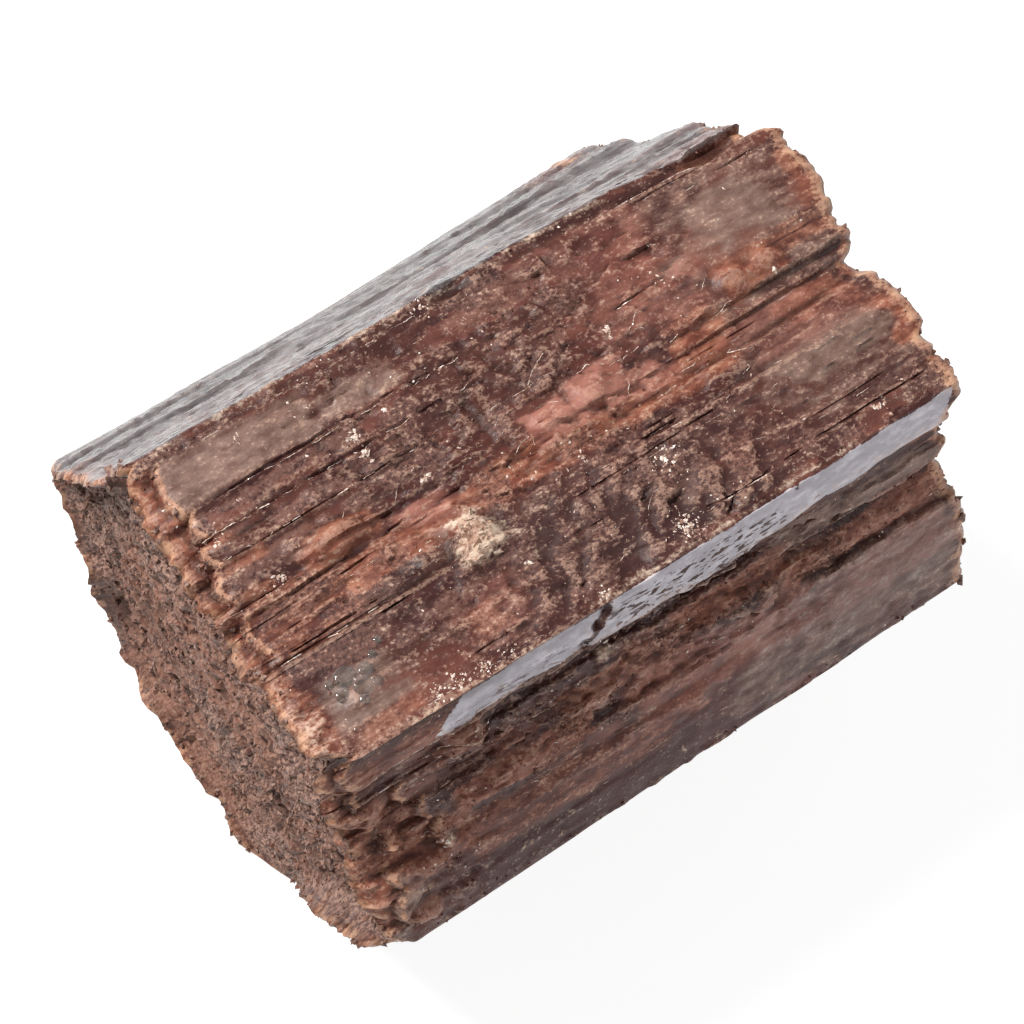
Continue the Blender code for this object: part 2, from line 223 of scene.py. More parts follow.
# Open cleavage cracks along the column: across, from, to, depth.
CRACKS = {
    "crown": (
        (3.52, -17, -1.5, 0.22), (4.92, -17.6, -4, 0.34), (6.22, -17.2, -6, 0.26),
        (8.62, -18, -15, 0.3), (9.85, -13.6, -10.2, 0.4), (10.75, -16.6, -15.1, 0.22),
        (11.92, -17.8, -11.8, 0.3), (12.55, -13.5, -10.5, 0.3), (12.08, 3, 6, 0.34),
        (11.72, 3.6, 5.8, 0.26), (12.78, -1.4, 7.6, 0.2), (14.42, -3, -0.6, 0.2),
        (9.12, 13, 17.8, 0.08), (9.72, 7, 12.6, 0.12), (16.62, 3.4, 17.6, 0.28),
        (15.62, 11, 16, 0.14), (1.95, 12.5, 18.5, 0.16), (1.3, 10, 18.4, 0.18),
        (6.62, -2.6, 2, 0.2), (5.42, 6, 9.6, 0.22),
    ),
    "front_slope": (
        (1.35, -9.9, -8, 0.2), (2.42, -17, -11.8, 0.26), (3.72, -18, -12.6, 0.34),
        (5.92, -15.6, -12.4, 0.3), (3.62, 1, 5.6, 0.16), (3.22, 15, 17, 0.26),
        (5.22, 10.6, 15.8, 0.2), (4.62, -15.5, -12.9, 0.22),
    ),
    "back_slope": (
        (16.4, -16.8, -9, 0.34), (17.6, -13, -4, 0.3), (19.8, -18, -10, 0.28),
        (18.6, 5, 13.5, 0.24), (8.4, -6, 2, 0.16), (15.4, 3, 8, 0.2),
    ),
    "front_underside": (
        (3.6, -15, 4, 0.24), (7, -4, 16, 0.3), (9.2, -17, 12, 0.34), (13.2, -12, 15, 0.26),
        (16.6, -16, -1, 0.2),
    ),
    "base": ((4.5, -12, 6, 0.12), (8, -4, 14, 0.12), (15, -10, 9, 0.12)),
    "back_underside": (
        (1.6, -14, 3, 0.2), (6.2, -9, 15, 0.3), (8.2, -16, 6, 0.28), (10.6, -6, 14, 0.22),
    ),
}
CRACK_HALF_WIDTH = 0.06
CRACK_WANDER = 0.07

# Where a kind of relief or pigment lies: kind, amount, then the patch's edges along (from,
# to) and across (from, to), how soft its border is, and how far it leans along per unit across.
Patch = namedtuple("Patch", "kind amount x0 x1 t0 t1 soft lean", defaults=(0.0,))


def patches(table):
    return {name: [Patch(*row) for row in rows] for name, rows in table.items()}


RELIEF = patches({
    "crown": (
        ("rubble", 0.9, -4.8, 6.5, 2.2, 7.4, 1.2), ("rubble", 0.5, -9, 9.5, 12.2, 17.2, 1),
        ("fibres", 1, -9.5, 8, 11.6, 17.2, 1), ("facets", 0.9, -11, 11, 1, 11.6, 1.5),
        ("facets", 0.6, -12, -5, 12.5, 17, 1), ("rubble", 1.4, -20, -17.6, 0.3, 17.7, 0.4),
        ("rubble", 0.5, 6.5, 11, 1, 5, 1.2), ("layers", 1, -19, -11.5, 8.2, 12.8, 0.8),
        ("layers", 0.25, 6, 19, 8.2, 10.6, 0.9), ("layers", 0.4, -1.5, 8, 11.5, 13.2, 0.5),
        ("rubble", 0.9, -13, 12, 9.6, 11.4, 0.8), ("layers", 0.8, 14.5, 19, 5.8, 8.4, 0.7),
        ("terrace", 1, -16, -2, 5, 9.8, 1.2), ("terrace", 0.9, -3, 8, 6.4, 11.6, 1),
        ("rubble", 0.6, -11, -4, 0.6, 3, 1), ("terrace", 0.8, 7.5, 19, 10.5, 16.4, 1.5),
        ("rubble", 0.6, -19, 19, 17.1, 18, 0.35), ("rubble", 0.9, -19, 19, -0.2, 0.75, 0.3),
        ("rubble", 0.6, -19.5, -17.4, 0, 17.7, 0.5),
    ),
    "front_slope": (
        ("rubble", 0.9, -4, -1.8, 0, 3.2, 0.4, 0.85), ("rubble", 1.5, -13.5, 9, 2.4, 7.6, 1),
        ("rubble", 0.8, 0.5, 18, 4.6, 7.6, 0.8), ("rubble", 0.7, -13, -3, 6.2, 9, 0.8),
        ("layers", 0.7, -20, -12.5, 1.5, 8, 0.9), ("rubble", 1.3, -20, -13, 6, 14, 1.2),
        ("facets", 0.9, -13.5, 12, 2.6, 8.4, 1), ("facets", 0.3, -14, 18, 8.6, 14, 1),
        ("rubble", 0.7, -20, 19, 14, 14.8, 0.4),
    ),
    "back_slope": (
        ("layers", 0.5, -19, 19, 0, 20.6, 1), ("rubble", 1, 12.5, 19, 0, 5.5, 1.2),
        ("rubble", 1, 12.5, 19, 18, 20.8, 0.8), ("rubble", 0.8, -19, -16.5, 5, 17, 0.8),
        ("terrace", 0.6, -17, 14, 4, 18, 1.5), ("facets", 0.35, -18, 18, 1, 20, 1.5),
    ),
    "front_underside": (
        ("rubble", 1, -19, 19, 7, 13, 1.5), ("terrace", 0.9, -19, 19, 1, 8, 1),
        ("facets", 0.8, -17, 18, 1, 12, 1.5), ("terrace", 0.8, -19, 19, 13, 20, 1),
        ("layers", 0.6, -19, 19, 8, 12, 1),
    ),
    "base": (("rubble", 0.4, -19, 19, 10.4, 13.4, 0.5),),
    "back_underside": (
        ("rubble", 1, -19, 19, 5, 9.5, 1.2), ("terrace", 0.8, -19, 19, 0.5, 5.5, 1),
        ("facets", 0.8, -17, 18, 1, 10, 1.5), ("terrace", 0.8, -19, 19, 9, 15, 1),
        ("layers", 0.6, -19, 19, 6, 9, 1),
    ),
})

# Pigments and painted light, in this order: tan (clear windows), iron (orange stain; also painted
# on the shaded step past each plate's tip), the dark layer (dark stain, and in places painted
# shadow and shade), film (pale dust), the lavender sheen (a painted pearly reflection on the
# lavender planes), cream (limonite and bruised edges), pits (small dark dashes), salmon (pink
# clear blisters), wine (deep red clear crystal), rim (painted light shining through the plates'
# tips), the grey sheen (a painted grey reflection on glossy faces) and hackle (splintery ground,
# streaked across the face).
PIGMENTS = ("tan", "iron", "dark_stain_and_shade", "film", "painted_sheen", "cream", "pits", "salmon", "wine",
            "rim", "grey_sheen", "hackle")
STAINS = patches({
    "crown": (
        ("tan", 0.86, -17.7, -9.3, 0.9, 3.5, 0.45), ("tan", 0.8, -9.6, -4.6, 2, 3.4, 0.5),
        ("dark_stain_and_shade", 0.7, -19, 19, 0.25, 0.85, 0.3), ("dark_stain_and_shade", 0.6, -9.6, -3.4, 0.5, 2, 0.6),
        ("iron", 0.9, -19.4, -17.7, 0.5, 3.4, 0.3), ("film", 0.7, -15.5, -9, 0.9, 2.4, 0.9),
        ("film", 0.75, -17.4, -8, 3.7, 4.8, 0.5), ("film", 0.65, -17, -9, 5.1, 6.2, 0.5),
        ("film", 0.75, -17.8, -12, 6.5, 7.9, 0.6), ("iron", 0.8, -18.8, -15.8, 4.9, 5.6, 0.35),
        ("iron", 0.9, -18.9, -14.8, 6.2, 6.9, 0.35), ("iron", 0.5, -18.9, -12.8, 8, 12.6, 0.9),
        ("dark_stain_and_shade", 0.9, -18, -9, 9, 12.8, 0.8), ("iron", 0.9, -13.9, -9.4, 7.3, 9.2, 0.5),
        ("dark_stain_and_shade", 0.5, -9.6, -3, 6.6, 9, 1.2), ("iron", 1, -12.5, 10.5, 9.4, 11.2, 0.6),
        ("iron", 1, -4.4, 6.4, 9.2, 11, 0.7), ("salmon", 0.6, 4.4, 7.2, 8.6, 10.2, 0.5),
        ("salmon", 1.3, -1.1, 1.1, 7.9, 9.8, 0.3), ("salmon", 1.3, 1.4, 4.7, 7.4, 9.7, 0.3),
        ("salmon", 0.7, -8.6, -6.2, 8.6, 10, 0.5), ("salmon", 0.5, 4.5, 11.5, 1.5, 8, 2),
        ("salmon", 0.45, 10, 18, 8.6, 12.4, 1.5), ("salmon", 0.4, -9, -5, 14, 17, 1.2),
        ("iron", 0.8, 7.6, 11.2, 7.6, 10, 0.8), ("iron", 0.9, 11.3, 15.4, 6.3, 8.3, 0.5),
        ("iron", 0.55, 15, 18.6, 5.9, 7.4, 0.6), ("iron", 0.7, 13.5, 17.6, 9.3, 11.2, 0.7),
        # Painted shade: the two dark patches in the far end's valley, where the crown steps down.
        ("dark_stain_and_shade", 0.7, 12.6, 18, 8, 10, 0.8), ("dark_stain_and_shade", 0.65, 11.2, 14.6, 9.8, 12.2, 0.7),
        ("cream", 1, -7.6, -5.4, 10.7, 12.9, 0.7), ("film", 0.6, -8.6, -4.6, 10.2, 13.6, 0.9),
        ("film", 0.75, -1, 4.4, 0.9, 2.9, 0.8), ("film", 0.55, -6, -4, 1.4, 3.6, 0.8),
        ("dark_stain_and_shade", 0.5, -3.8, 2, 4.6, 7, 1.1), ("dark_stain_and_shade", 0.5, 4.2, 8.4, 1.6, 5, 0.9),
        ("dark_stain_and_shade", 0.9, -5.2, -1.4, 11.6, 16.8, 1.4), ("dark_stain_and_shade", 0.75, -2.2, 6, 13, 17.2, 1.2),
        ("film", 0.7, 2.6, 5, 12.6, 16.2, 0.8), ("film", 0.6, -10.4, -6.6, 13.4, 17.2, 1),
        ("iron", 0.6, -9.6, -7.2, 14.6, 16.4, 0.6), ("film", 0.5, -4.2, -1.6, 14.6, 16.8, 0.7),
        ("tan", 0.42, 9, 19.6, 0.9, 16.6, 2), ("tan", 0.95, 11.4, 17, 2.6, 6, 1.1),
        ("tan", 0.7, 9.4, 11.6, 4.6, 6, 0.8), ("film", 0.4, 15.5, 19.3, 1.2, 5.8, 0.8),
        ("iron", 0.6, 18, 19.4, 2.6, 6.2, 0.4), ("wine", 0.8, 9.6, 17.4, 10.9, 15.2, 0.7),
        ("tan", 1, 11, 17.2, 11.9, 14.1, 0.9), ("tan", 0.45, 10.2, 14, 14, 15.4, 0.8),
        ("dark_stain_and_shade", 0.4, 10.8, 16.6, 14.4, 15.4, 0.4), ("iron", 0.9, 17.6, 19, 12, 15, 0.4),
        ("iron", 0.5, 16.4, 18.4, 10.6, 12.4, 0.6), ("film", 0.5, 15.8, 18.2, 14.6, 16.4, 0.6),
        ("iron", 0.6, 13.4, 17.4, -0.6, 0.9, 0.4), ("film", 0.7, 9, 18, 0.9, 1.15, 0.15),
        ("tan", 0.9, -17.3, -13.6, 13.8, 16.6, 0.5), ("iron", 0.75, -19.1, -17.4, 12.2, 17.4, 0.4),
        ("cream", 0.3, -18.9, -17.8, 14, 17.4, 0.5), ("iron", 0.6, -16.6, -12.8, 16.4, 17.7, 0.5),
        ("film", 0.6, -17.4, -13.2, 15.9, 17.6, 0.6), ("dark_stain_and_shade", 0.6, -13.4, -10, 12.4, 15.6, 1),
        ("dark_stain_and_shade", 0.55, 4, 17.6, 16.7, 17.3, 0.3), ("cream", 0.3, -14, -5.8, 17.66, 17.9, 0.1),
        ("cream", 0.35, -4, 12, 17.62, 17.9, 0.12), ("hackle", 1, -9, 8.5, 11.6, 17.2, 1.2),
        ("hackle", 0.6, -4, 3, 3.6, 7.4, 1.2), ("wine", 0.9, -9, -2.6, 6.4, 9.2, 1),
        ("wine", 0.8, 4.4, 8.4, 9.6, 12.6, 1), ("wine", 0.7, -2, 6, 5.2, 7.6, 1),
        ("wine", 0.7, 5.6, 11.6, 1.2, 4.6, 1), ("cream", 0.42, -17.6, 9, -0.4, 0.2, 0.3),
    ),
    "front_slope": (
        # The lavender strip along the front slope's top is a painted pearly reflection.
        ("painted_sheen", 1, -11.4, -3.2, 0.1, 1.95, 0.25, 0.85), ("painted_sheen", 1, -2.6, 3, 0, 2.2, 0.3, 0.85),
        ("painted_sheen", 1, 0.8, 8.4, 0, 2.75, 0.4), ("painted_sheen", 1, 8, 17.8, 0, 2.25, 0.34),
        ("pits", 1, -2.6, 6.8, 0.6, 2.6, 0.7), ("pits", 0.5, -10, -5, 0.7, 1.9, 0.5),
        # Painted shadow: the dark bands just under the lavender strip's overhanging edge.
        ("dark_stain_and_shade", 1, -12, 6.6, 2.4, 3.7, 0.5), ("dark_stain_and_shade", 0.9, -8, -4.4, 2, 3.8, 0.5),
        ("iron", 0.9, -19.8, -18.2, 0.2, 1.4, 0.4), ("film", 0.7, -12.8, -10.3, 2, 4.4, 0.6),
        ("iron", 0.9, -12.8, -10.6, 2.2, 4.2, 0.6), ("iron", 0.9, -19.4, -15.8, 3.6, 5.8, 0.5),
        ("iron", 0.7, -17.6, -15.4, 6.2, 8.4, 0.5), ("dark_stain_and_shade", 0.6, -15.5, -12.4, 5.2, 7.4, 0.6),
        ("iron", 0.95, -12.4, -4.8, 6.2, 8.3, 0.6), ("iron", 0.8, -6.6, -1, 4.9, 6.8, 0.6),
        ("film", 0.5, -5.6, -2.2, 5.6, 7, 0.6), ("iron", 0.45, -14, -4, 8.6, 10.8, 1.2),
        ("iron", 0.7, -16.4, -12, 7.8, 10.8, 0.9), ("iron", 0.8, 0.6, 8.2, 4, 5.9, 0.7),
        ("tan", 0.35, 1.6, 8.6, 5.6, 8.2, 0.9), ("iron", 0.6, -3.4, 2, 4, 8.6, 1.2),
        ("iron", 1, 7, 17.4, 5.7, 7.4, 0.6), ("film", 0.35, 10, 17.6, 6.6, 8, 0.7),
        ("tan", 1, 9.6, 18.2, 8.8, 12.2, 0.5), ("salmon", 0.6, -2, 9, 6.4, 10.6, 1.5),
        ("tan", 0.6, 2.6, 18.6, 7.8, 13.6, 1.4), ("tan", 0.3, 4, 18, 12.2, 14.4, 0.9),
        ("salmon", 0.5, 8, 18, 7.6, 11.6, 1.2), ("grey_sheen", 0.34, 5, 19, 8, 12.4, 2.6),
        ("wine", 0.9, -15, 4, 9, 14.6, 1.5), ("tan", 0.85, 9.4, 17.4, 3.2, 4.7, 0.4),
        ("tan", 0.7, 6.4, 10, 2.9, 4.6, 0.5), ("iron", 0.6, 13, 16.6, 4.6, 5.1, 0.3),
        # Painted shade: the dark gap at the far end, and the dark ledge under the far strip.
        ("dark_stain_and_shade", 0.9, 10.4, 16, 5, 5.6, 0.3), ("dark_stain_and_shade", 0.35, 11, 16.6, 2.3, 3.1, 0.3),
        ("iron", 0.7, 15.6, 17.8, 1.6, 2.6, 0.4), ("dark_stain_and_shade", 0.55, -13.6, 1, 11.9, 14.6, 0.9),
        ("film", 0.55, -20, -15, 10.4, 13.6, 0.9), ("tan", 0.6, -19.4, -15.6, 9.6, 12.4, 0.8),
        ("iron", 0.7, -17.2, -15.2, 12.2, 13.6, 0.4), ("iron", 0.75, 0.2, 1.8, 9.2, 11.2, 0.5),
        ("iron", 0.5, -13, 0, 9.4, 12, 1), ("cream", 0.9, -3.4, -2.8, 3.3, 4.1, 0.25),
        ("cream", 0.8, -14.4, -13.8, 8.7, 9.8, 0.3), ("iron", 0.55, -18.4, -12.6, 0.6, 2.3, 0.5),
    ),
    "back_slope": (
        # The grey sheen on this face, the front slope and the undersides is a painted grey
        # reflection.
        ("grey_sheen", 0.95, -18.4, 19.6, 2.4, 20.45, 0.6), ("grey_sheen", 0.7, -19, 20, -1.5, 4, 2),
        ("cream", 0.4, -12, 9, 20.45, 20.8, 0.25), ("iron", 0.8, 13, 17.5, 0, 5, 0.9),
        ("iron", 0.7, 13.2, 18, 17.6, 20.6, 0.7), ("iron", 0.7, -19, -16.6, 5, 16, 0.8),
        ("iron", 0.5, -2.4, -0.6, 17.8, 19.4, 0.4), ("dark_stain_and_shade", 0.5, -2.2, 2.6, 6, 10, 0.8),
        # Painted shade: the wide dark band over the back slope's outer part, where its grey sheen
        # is darker.
        ("dark_stain_and_shade", 0.55, -19, 19, -1, 7.5, 4), ("dark_stain_and_shade", 0.6, 5, 14, 9, 13, 1.5),
        ("rim", 0.75, 15.2, 17, -0.8, 2.6, 0.5),
    ),
    "front_underside": (
        ("grey_sheen", 0.5, -15, 16, 13.5, 19, 4), ("iron", 0.7, -15, 12, 8.4, 11.4, 1),
        ("tan", 0.9, 3, 16, 1.2, 4.8, 1), ("dark_stain_and_shade", 0.6, -16, 2, 2, 8, 1.5),
        ("film", 0.6, -8, 9, 13, 17, 1.5), ("tan", 0.8, -16, -6, 15, 20, 1.2),
        ("iron", 0.6, 6, 18, 12, 15, 1),
    ),
    "base": (("film", 0.5, -15, 12, 2, 9, 2), ("iron", 0.7, -19, 19, 10.6, 13.2, 0.6)),
    "back_underside": (
        ("grey_sheen", 0.55, -15, 14, 10.5, 14, 3.5), ("grey_sheen", 0.6, -16, 16, -1, 3, 2.5),
        ("iron", 0.8, -12, 14, 6.2, 9.2, 0.9), ("tan", 0.9, -15, -3, 1, 4.6, 1),
        ("film", 0.6, -4, 12, 9.6, 14, 1.2), ("dark_stain_and_shade", 0.6, 2, 17, 1, 6, 1.2),
    ),
})

# Pale hairlines: (along, across) points.
VEINS = {
    "crown": (
        ((-2.3, 6.75), (-0.8, 6.8), (0, 6.9), (0.5, 6.4), (1.3, 5.8), (2, 5.6)),
        ((-2.4, 7.5), (-1.9, 7.3), (-1.4, 7.35)),
        ((-1.2, 9.3), (-1.1, 8.6), (-0.6, 8), (0.2, 7.8), (0.9, 8.1), (1.1, 8.8)),
        ((1.3, 8.6), (1.5, 7.9), (2.2, 7.4), (3.2, 7.3), (4.1, 7.6), (4.7, 8.2), (4.7, 9),
         (4.2, 9.7)),
        ((4.7, 8.2), (5.4, 7.8), (6.3, 7.7)), ((-8.8, 8.4), (-8, 7.5), (-6.8, 7.2), (-5.8, 7.6)),
        ((-7.9, 9.4), (-7, 9.2), (-5.5, 9.25), (-4, 9.4)), ((-9.5, 7.9), (-8.4, 7.6)),
        ((5.5, 10.4), (6.6, 10.4)), ((9.9, 10.7), (10.3, 10.9), (10.2, 11.6), (8.3, 12.2)),
        ((-17.4, 0.75), (-9, 0.85), (-2, 0.7)), ((9, 1.05), (18, 1.1)),
        ((-13.8, 17.45), (-11, 17.5), (-4.8, 17.6)),
    ),
    "front_slope": (
        ((-5.4, 12.2), (-4.2, 12.2)), ((-2.5, 11.9), (-0.5, 11.7)), ((-15.5, 1.75), (-8, 2.1)),
        ((-15.8, 3.4), (-11, 3.7)), ((-9, 9.2), (-2, 9.4)),
    ),
}
# Strewn hairlines: how many, and how far across the face they reach.
SPARE_VEINS = {"crown": (80, 16.5), "front_slope": (30, 9.0)}
SPARE_VEIN = (0.3, 1.5)  # shortest and longest
SPARE_VEIN_END = 17.0
VEIN_STEP = 0.07
VEIN_SEED = 3.7
VEIN_BREAK = -0.08
VEIN_JITTER = 0.11
VEIN_HALF_WIDTH = 0.034
VEIN_RIDGE = 0.03
VEIN_DEPTH = 0.02
# Painted highlight along each open crack's lower lip: how far below the crack it lies. The two
# sizes after it serve it and the strewn hairlines.
LIT_LIP_OFFSET = 0.13
LIP_HALF_WIDTH = 0.026
LIP_JITTER = 0.1

# Groups of white flakes that stand out: along, across, radius, number, size.
CLUSTERS = {
    "crown": (
        (-8.5, 4.4, 0.35, 22, 0.1), (-8.4, 5.3, 0.3, 12, 0.12), (-6.4, 4, 0.25, 8, 0.1),
        (-6.8, 7.9, 0.3, 8, 0.09), (-5, 14.1, 0.2, 6, 0.11), (5.2, 6.3, 0.25, 8, 0.11),
        (14.5, 8, 0.1, 3, 0.16), (-15.2, 8.3, 0.5, 24, 0.09), (-13.4, 1.6, 0.3, 10, 0.08),
        (3.6, 13.4, 0.9, 90, 0.075), (2.5, 16.6, 0.8, 80, 0.07), (14.1, 16.8, 0.8, 16, 0.1),
        (9.1, 5.6, 0.4, 10, 0.09), (-6.5, 11.9, 0.8, 8, 0.08), (-15.2, 14.6, 0.7, 10, 0.1),
        (-16.8, 5.4, 0.3, 10, 0.09), (-8, 0.5, 0.6, 12, 0.05), (-2, 0.5, 0.6, 24, 0.06),
        (-12.4, 17.4, 0.5, 40, 0.055), (-11.2, 17.4, 0.6, 60, 0.065), (-9.8, 17.4, 0.6, 50, 0.055),
        (-8.3, 17.4, 0.5, 30, 0.05), (-3, 17.4, 0.4, 30, 0.06), (2.2, 16.9, 0.6, 50, 0.06),
        (0.4, 10.9, 1.2, 26, 0.06), (-2.4, 9.6, 1, 22, 0.06),
    ),
    "front_slope": (
        (-3.1, 3.7, 0.2, 6, 0.16), (-14.1, 9.2, 0.35, 10, 0.12), (-11, 3, 0.8, 20, 0.08),
    ),
}
# The cream lump: along, across, radius, number, size.
LIMONITE = (-6.5, 11.8, 0.95, 60, 0.24)
# The blister's domes: along, across, radius.
BUBBLES = (
    (-15.5, 14.3, 0.60), (-15.1, 15.1, 0.50), (-16.1, 15.0, 0.40), (-14.5, 14.5, 0.42),
    (-15.4, 15.7, 0.28), (-14.4, 15.3, 0.26), (-16.3, 14.2, 0.24), (-13.8, 14.0, 0.24),
    (-13.2, 13.5, 0.2),
)
DOME_SIDES = 20
DOME_RINGS = 8
DOME_HEIGHT = 0.24
CHIP_TRIES = 9000
CHIP = 0.06
CAP_CRUMBS = 7500
CAP_CRUMB = 0.15
SIDE_CRUMBS = 4000
SIDE_CRUMB = 0.075
CRUMB_JITTER = 0.35
CRUMB_LEAN = 0.5
SMOOTH_KINDS = ("painted_sheen", "grey_sheen", "tan", "cream", "salmon")
ABOVE = 6.0  # where lines sent at the skin start

# How far a ledge's step is spread where it is worn, in its own widths.
RISER_WEAR = {"crown": 2.6, "front_slope": 5.0, "back_slope": 2.0, "front_underside": 3.5,
              "base": 2.0, "back_underside": 3.5}
# Painted light shining through the plates' tips, at the near and the far end.
RIM_GLOW = {"back_slope": (0.6, 0.3)}
OTHER_RIM_GLOW = (0.75, 1.0)
RIM_GLOW_WIDTH = (0.9, 1.5)
# Sizes of the relief.
KIND_HEIGHT = {"rubble": 0.14, "layers": 0.13, "fibres": 0.24, "terrace": 0.15, "facets": 0.2}
STRIA_HEIGHT = 0.018
WAVE_HEIGHT = 0.10
WOBBLE = 0.10
SHEAR = {"back_slope": -0.32}  # how far the relief leans across per unit along
# How far the ledges' edges wander across.
WANDER = {"crown": 0.12, "front_slope": 0.45, "back_slope": 0.15, "front_underside": 0.3,
          "base": 0.2, "back_underside": 0.3}
# The mesh: its steps along the side and over the near (-1) and far (1) end face.
MID_STEP = 0.232
END_STEP = 0.16
CLOSEST_LINES = 0.045
CAP_STEP = {-1: 0.32, 1: 0.5}
CAP_REACH = 20.0
CAP_JITTER = 0.35
CAP_LIP = 0.965
CAP_INSIDE = 0.945
CAP_RECESS = 0.35
SECTOR_STEP = 0.25
CAP_SWELL = 0.30
CAP_GRAIN = 0.16
SMOOTH_ANGLE = math.radians(38.0)
# How deep or high a place has to be, against its surroundings, to count in full. Hollows and
# the end faces' pits get painted shade from these; raised edges get a pale worn colour.
HOLLOW_DEPTH = 0.16
WIDE_HOLLOW_DEPTH = 0.55
EDGE_HEIGHT = 0.09
PIT_DEPTH = 0.6
# How far each face may rise over its plane.
HIGHEST = {"back_slope": 1.0, "crown": 0.35, "front_slope": 0.35, "front_underside": 0.35,
           "base": 0.0, "back_underside": 1.0}

# ---------------------------------------------------------------- camera and light
CAMERA_TURN = math.radians(-50.5)
CAMERA_RISE = math.radians(67.4)
CAMERA_ROLL = math.radians(16.77)
CAMERA_DISTANCE = 141.88
CAMERA_LENS = 92.6
AIM_RIGHT = 0.442
AIM_UP = 0.916
AXIS_HEIGHT = 16.14
SENSOR_WIDTH = 36.0
NEAR_CLIP = 0.005  # metres
FLOOR_HALF = 1.5  # metres
FLOOR_GLOW = 0.84
WORLD_GLOW = 0.32
BUMP_STRENGTH = 0.45
BUMP_DISTANCE = 0.00018  # metres


# ---------------------------------------------------------------- noise
def lattice(ix, iy, iz, seed):
    """A value from -1 to 1 for each point of a whole-number lattice."""
    h = np.uint32(round(seed * 97) * 3266489917 & 0xFFFFFFFF)
    for place, factor in ((ix, 374761393), (iy, 668265263), (iz, 2246822519)):
        h = h + place.astype(np.uint32) * np.uint32(factor)
    h = (h ^ (h >> np.uint32(13))) * np.uint32(1274126177)
    h = (h ^ (h >> np.uint32(16))) * np.uint32(2654435769)
    return (h >> np.uint32(8)).astype(float) / float(1 << 23) - 1.0


def noise(x, y, z=0.0, seed=0):
    """Smooth value noise from -1 to 1."""
    x, y, z = np.broadcast_arrays(np.asarray(x, float), y, z)
    ix, iy, iz = (np.floor(v).astype(np.int64) for v in (x, y, z))
    fx, fy, fz = x - ix, y - iy, z - iz
    ux, uy, uz = (f * f * f * (f * (f * 6 - 15) + 10) for f in (fx, fy, fz))
    total = 0.0
    for dx in (0, 1):
        for dy in (0, 1):
            for dz in (0, 1):
                weight = (ux if dx else 1 - ux) * (uy if dy else 1 - uy) * (uz if dz else 1 - uz)
                total = total + weight * lattice(ix + dx, iy + dy, iz + dz, seed)
    return total


def fractal(x, y, z=0.0, seed=0, octaves=3):
    total, size, reach = 0.0, 1.0, 0.0
    for octave in range(octaves):
        scale = 2.0 ** octave
        total = total + size * noise(x * scale, y * scale, z * scale, seed + octave)
        reach += size
        size *= 0.5
    return total / reach


def cells(x, y, seed=0):
    """Distances to the nearest and second nearest of scattered points, the nearest's value, and
    how far away it is along x and along y."""
    ix, iy = np.floor(x).astype(np.int64), np.floor(y).astype(np.int64)
    first = np.full(np.shape(x), 9.0)
    second = first.copy()
    value, away_x, away_y = (np.zeros(np.shape(x)) for _ in range(3))
    zero = np.zeros_like(ix)
    for dx in (-1, 0, 1):
        for dy in (-1, 0, 1):
            px = ix + dx + 0.5 + 0.45 * lattice(ix + dx, iy + dy, zero, seed)
            py = iy + dy + 0.5 + 0.45 * lattice(ix + dx, iy + dy, zero, seed + 7)
            away = np.hypot(px - x, py - y)
            closer = away < first
            second = np.where(closer, first, np.minimum(second, away))
            value = np.where(closer, lattice(ix + dx, iy + dy, zero, seed + 13), value)
            away_x = np.where(closer, x - px, away_x)
            away_y = np.where(closer, y - py, away_y)
            first = np.where(closer, away, first)
    return first, second, value, away_x, away_y


def smooth(value, low=0.0, high=1.0):
    share = np.clip((value - low) / (high - low), 0.0, 1.0)
    return share * share * (3.0 - 2.0 * share)


def within(value, low, high, soft):
    """1 between two places and 0 outside them, with soft borders."""
    return smooth(value, low - soft, low + soft) * smooth(-value, -high - soft, -high + soft)


# ---------------------------------------------------------------- the section
def normal_of(face):
    angle = math.radians(face.angle)
    return np.array((math.sin(angle), math.cos(angle)))


def corner_between(first, second):
    planes = np.array((normal_of(first), normal_of(second)))
    return np.linalg.solve(planes, (first.distance, second.distance))


def face_edges(i):
    """Start and end of a face in the cross-section."""
    start = corner_between(FACES[i - 1], FACES[i])
    return start, corner_between(FACES[i], FACES[(i + 1) % len(FACES)])


def across_places(i):
    """Places of the mesh's lines across a face: evenly spaced, and closer at cracks and ledges."""
    face = FACES[i]
    start, end = face_edges(i)
    width = np.linalg.norm(end - start)
    margin = RISER / 2
    places = list(np.linspace(margin, width - margin, max(2, round(width / face.spacing))))
    wanted = []
    for crack in CRACKS[face.name]:
        wanted += [crack[0] - CRACK_HALF_WIDTH, crack[0], crack[0] + CRACK_HALF_WIDTH]
    for ledge in LEDGES[face.name][1:]:
        wanted += [ledge[0] - RISER / 2, ledge[0] + RISER / 2]
    wanted = [w for w in sorted(wanted) if margin < w < width - margin]
    kept = []
    for place in wanted:
        if not kept or place - kept[-1] > CLOSEST_LINES:
            kept.append(place)
    gap = 0.45 * min(face.spacing, 0.2)
    places = [p for p in places if all(abs(p - k) > gap for k in kept)]
    return np.array(sorted(places + kept))


def rim_along(table, name, across):
    points = np.array(table[name], float)
    return np.interp(across, points[:, 0], points[:, 1])


# ---------------------------------------------------------------- relief and pigment
def patch_weight(patch, x, t, seed):
    """1 inside a patch and 0 outside, with a ragged border."""
    drift = 0.55 * patch.soft + 0.12
    px = x + patch.lean * t + 2.2 * drift * fractal(x * 0.55, t * 0.9, seed, 3)
    pt = t + drift * fractal(x * 0.5, t * 1.1, seed + 5.3, 4)
    along = within(px, patch.x0, patch.x1, patch.soft)
    return patch.amount * along * within(pt, patch.t0, patch.t1, patch.soft / 2)


